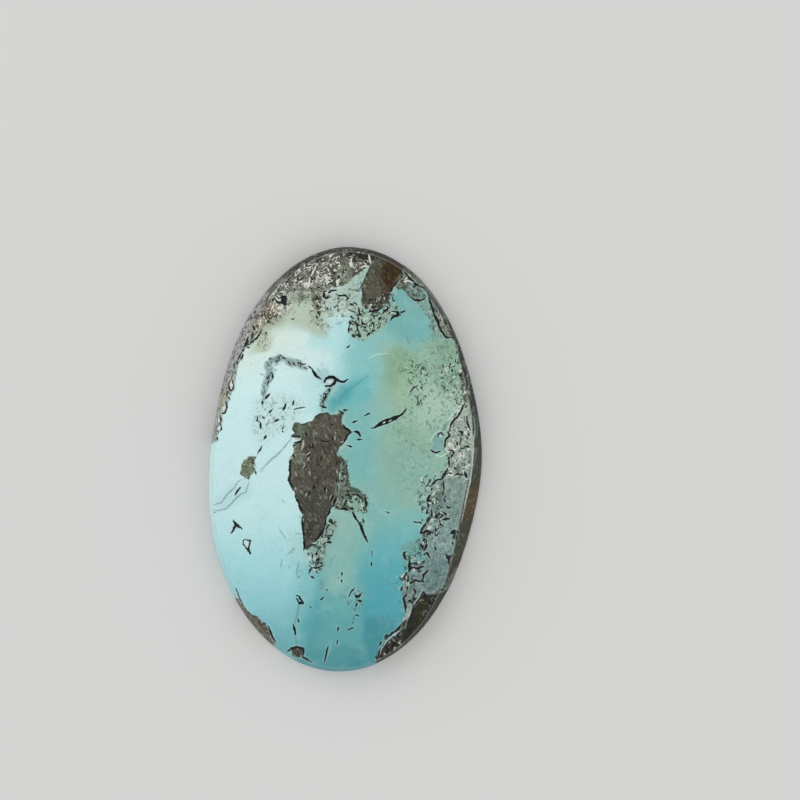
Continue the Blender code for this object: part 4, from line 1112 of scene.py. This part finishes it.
turned = add_node("VectorRotate", {"Vector": place, "Angle": STREAK_TURN}, rotation_type="Z_AXIS").outputs[0]
streaked = add_node("VectorMath", {0: turned, 1: (2.4, 0.85, 1.6)}, operation="MULTIPLY").outputs[0]
streak = noise(0.5, 2.0, 0.3, streaked)
iron_field = calc("ADD", read("iron"), fray)
iron_share = share_of(iron_field, -0.02, 0.04)
ironstone = read("rock_tint", "Color")
ironstone = lay(share_of(streak, 0.49, 0.36), ironstone, times(ironstone, 0.7))
ironstone = lay(share_of(streak, 0.54, 0.66), ironstone, times(ironstone, 1.4))
# Painted glints: the brightest streaks lifted well above the brown, as light caught on the rough face.
ironstone = lay(calc("MULTIPLY", share_of(streak, 0.66, 0.71), 0.7), ironstone, times(ironstone, 2.6))
ironstone = lay(share_of(noise(0.2, 2.0), 0.57, 0.67), ironstone, times(ironstone, 0.6))
rim_dark = calc("MULTIPLY", band(iron_field, 0.0, 0.09, 0.05), share_of(noise(0.8, 2.0), 0.42, 0.56))
bleach = band(iron_field, -0.2, -0.03, 0.1)
paint = lay(calc("MULTIPLY", bleach, 0.12), paint, BLEACH_AND_HIGHLIGHT)
paint = lay(iron_share, paint, ironstone)
print("nodes so far:", len(tree.nodes))

# %% Flakes, lines and spots over everything
VEIN_GREY = (0.17, 0.30, 0.31)
FOLD_TEAL = (0.06, 0.34, 0.38)
SEAM_BLACK = (0.003, 0.007, 0.006)
QUARTZ_WHITE = (0.72, 0.75, 0.70)
GLINT_GREY = (0.50, 0.50, 0.44)

dark_gap_and_shadow = calc("MAXIMUM", dark_gap_and_shadow, calc("MULTIPLY", pit, 0.7))
dark_cover = calc("MULTIPLY", dark_gap_and_shadow, calc("MINIMUM", calc("MULTIPLY", dark_strength, 1.5), 1.0))
pale_cover = calc("MULTIPLY", pale_flake, calc("MINIMUM", calc("MULTIPLY", pale_strength, 1.4), 1.0))
# Dark gaps and the painted shadows of the flakes.
paint = lay(dark_cover, paint, GAP_AND_SHADOW_DARK)
flake_tone = lay(share_of(pale_strength, 0.55, 0.75), FLAKE_GREEN, FLAKE_WHITE)
paint = lay(pale_cover, paint, flake_tone)
paint = lay(calc("MULTIPLY", rim_dark, 0.85), paint, IRON_BLACK)
halo = calc("MULTIPLY", band(read("seam"), -0.12, -0.02, 0.05), calc("SUBTRACT", 1.0, iron_share))
paint = lay(calc("MULTIPLY", halo, 0.12), paint, BLEACH_AND_HIGHLIGHT)
paint = lay(calc("MULTIPLY", line_share("fold", 0.12), 0.5), paint, FOLD_TEAL)
paint = lay(calc("MULTIPLY", line_share("vein", 0.05), 0.7), paint, VEIN_GREY)
# Pale lines; those on the rim are painted highlights of its edge.
paint = lay(calc("MULTIPLY", line_share("pale", 0.04), 0.6), paint, BLEACH_AND_HIGHLIGHT)
# Painted glints on the wedge, where its rough face catches the light.
paint = lay(calc("MULTIPLY", line_share("glint", 0.03), 0.85), paint, GLINT_GREY)
seam_share = line_share("seam", 0.025, SEAM_SPREAD, 2.0)
paint = lay(seam_share, paint, SEAM_BLACK)
paint = lay(line_share("white", 0.03), paint, QUARTZ_WHITE)
print("nodes so far:", len(tree.nodes))

# %% [markdown]
# ## The wall and the back
# The wall is ground and duller than the dome. Along its upper edge a thin pale line is painted as the
# highlight where that edge catches the light. No picture shows the back. Cutters saw it flat and leave it
# dull, so it gets faint parallel saw marks and a web of the same brown rock.

# %% Wall, ridge and sawn back
RIDGE_HIGHLIGHT = (0.42, 0.44, 0.40)
BACK_BLUE = (0.33, 0.52, 0.50)
BACK_PALE = (0.42, 0.60, 0.56)
BACK_BROWN = (0.16, 0.125, 0.09)

# Painted highlight: a thin pale line along the ridge, where the edge catches the light.
paint = lay(calc("MULTIPLY", band(read("ridge"), -0.05, 0.05, 0.08), 0.25), paint, RIDGE_HIGHLIGHT)
web = noise(3.2, 4.0, 0.6)
back = lay(share_of(noise(5.0, 3.0), 0.4, 0.65), BACK_BLUE, BACK_PALE)
back = lay(share_of(web, 0.56, 0.60), back, BACK_BROWN)
back = lay(calc("MULTIPLY", band(web, 0.475, 0.48, 0.008), 0.8), back, IRON_BLACK)
paint = lay(read("back"), paint, back)

# %% Gloss, fine bump and the finished material
POLISH = 0.27
dull = calc("MULTIPLY", iron_share, 0.3)
dull = calc("MAXIMUM", dull, calc("MULTIPLY", host_share, 0.25))
dull = calc("MAXIMUM", dull, calc("MULTIPLY", seam_share, 0.1))
dull = calc("MAXIMUM", dull, calc("MULTIPLY", read("back"), 0.5))
dull = calc("MAXIMUM", dull, calc("MULTIPLY", read("wall"), 0.2))
gloss = calc("ADD", calc("ADD", dull, POLISH), swing(0.6, 0.03, detail=3.0))

rock_bump = calc("MULTIPLY", noise(0.16, 3.0), calc("MAXIMUM", iron_share, calc("MULTIPLY", host_share, 0.7)))
flake_bump = calc("MULTIPLY", calc("SUBTRACT", pale_cover, dark_cover), 0.5)
saw = add_node("TexWave", {"Vector": place, "Scale": 1.4, "Distortion": 1.5, "Detail": 2.0}, bands_direction="Y")
saw_bump = calc("MULTIPLY", saw.outputs[1], calc("MULTIPLY", read("back"), 0.4))
polish_bump = calc("MULTIPLY", noise(0.5, 3.0), 0.05)
fine = calc("ADD", calc("ADD", rock_bump, flake_bump), calc("ADD", saw_bump, polish_bump))
bump = add_node("Bump", {"Strength": 1.0, "Distance": 0.05 * MM, "Height": fine})
surface = add_node(
    "BsdfPrincipled",
    {"Base Color": paint, "Roughness": gloss, "Metallic": 0.0, "IOR": 1.62, "Specular IOR Level": 0.14,
     "Normal": bump.outputs[0]},
)
add_node("OutputMaterial", {"Surface": surface.outputs[0]})
stone_mesh.materials.append(stone_finish)
print("nodes in all:", len(tree.nodes))

# %% [markdown]
# ## Table and light
# A polished dome is a mirror that looks up at the whole room. A small lamp would lay a white spot over
# the blue, and the picture has none. So most of the light comes from pale walls, the ceiling is dim, and
# two large panels stand low, where only the steep rim can reflect them.

# %% Floor, panels and room
FLOOR_HALF = 0.6
PANEL_DISTANCE = 0.9
PANELS = {"key": ((-0.62, 0.52, 0.59), 0.8, 1.9), "fill": ((0.60, -0.50, 0.62), 0.8, 1.6)}
CEILING, WALLS = 0.4, 1.0  # brightness of the room overhead and at the sides

floor_mesh = bpy.data.meshes.new("table")
floor_corners = [(FLOOR_HALF * x, FLOOR_HALF * y, 0.0) for x, y in ((-1, -1), (1, -1), (1, 1), (-1, 1))]
floor_mesh.from_pydata(floor_corners, [], [(0, 1, 2, 3)])
floor_finish = bpy.data.materials.new("pale table")
floor_finish.use_nodes = True
floor_shader = floor_finish.node_tree.nodes["Principled BSDF"]
floor_shader.inputs["Base Color"].default_value = (0.72, 0.72, 0.71, 1.0)
floor_shader.inputs["Roughness"].default_value = 0.9
floor_mesh.materials.append(floor_finish)
floor = bpy.data.objects.new("table", floor_mesh)
bpy.context.scene.collection.objects.link(floor)

for name, (direction, size, watts) in PANELS.items():
    panel_light = bpy.data.lights.new(name, "AREA")
    panel_light.size, panel_light.energy = size, watts
    panel = bpy.data.objects.new(name, panel_light)
    panel.location = Vector(direction) * PANEL_DISTANCE
    panel.rotation_euler = panel.location.to_track_quat("Z", "Y").to_euler()
    bpy.context.scene.collection.objects.link(panel)

room = bpy.data.worlds.new("room")
room.use_nodes = True
tree = room.node_tree
upward = add_node("SeparateXYZ", {0: add_node("TexCoord", {}).outputs["Generated"]}).outputs[2]
shade = lay(share_of(upward, 0.5, 0.92), (WALLS, WALLS, WALLS), (CEILING, CEILING, CEILING))
tree.links.new(shade, tree.nodes["Background"].inputs["Color"])
bpy.context.scene.world = room
bpy.context.scene.view_settings.view_transform = "Standard"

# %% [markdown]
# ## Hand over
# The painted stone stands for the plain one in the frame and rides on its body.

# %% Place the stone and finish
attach(stone, "root")
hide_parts("turquoise")
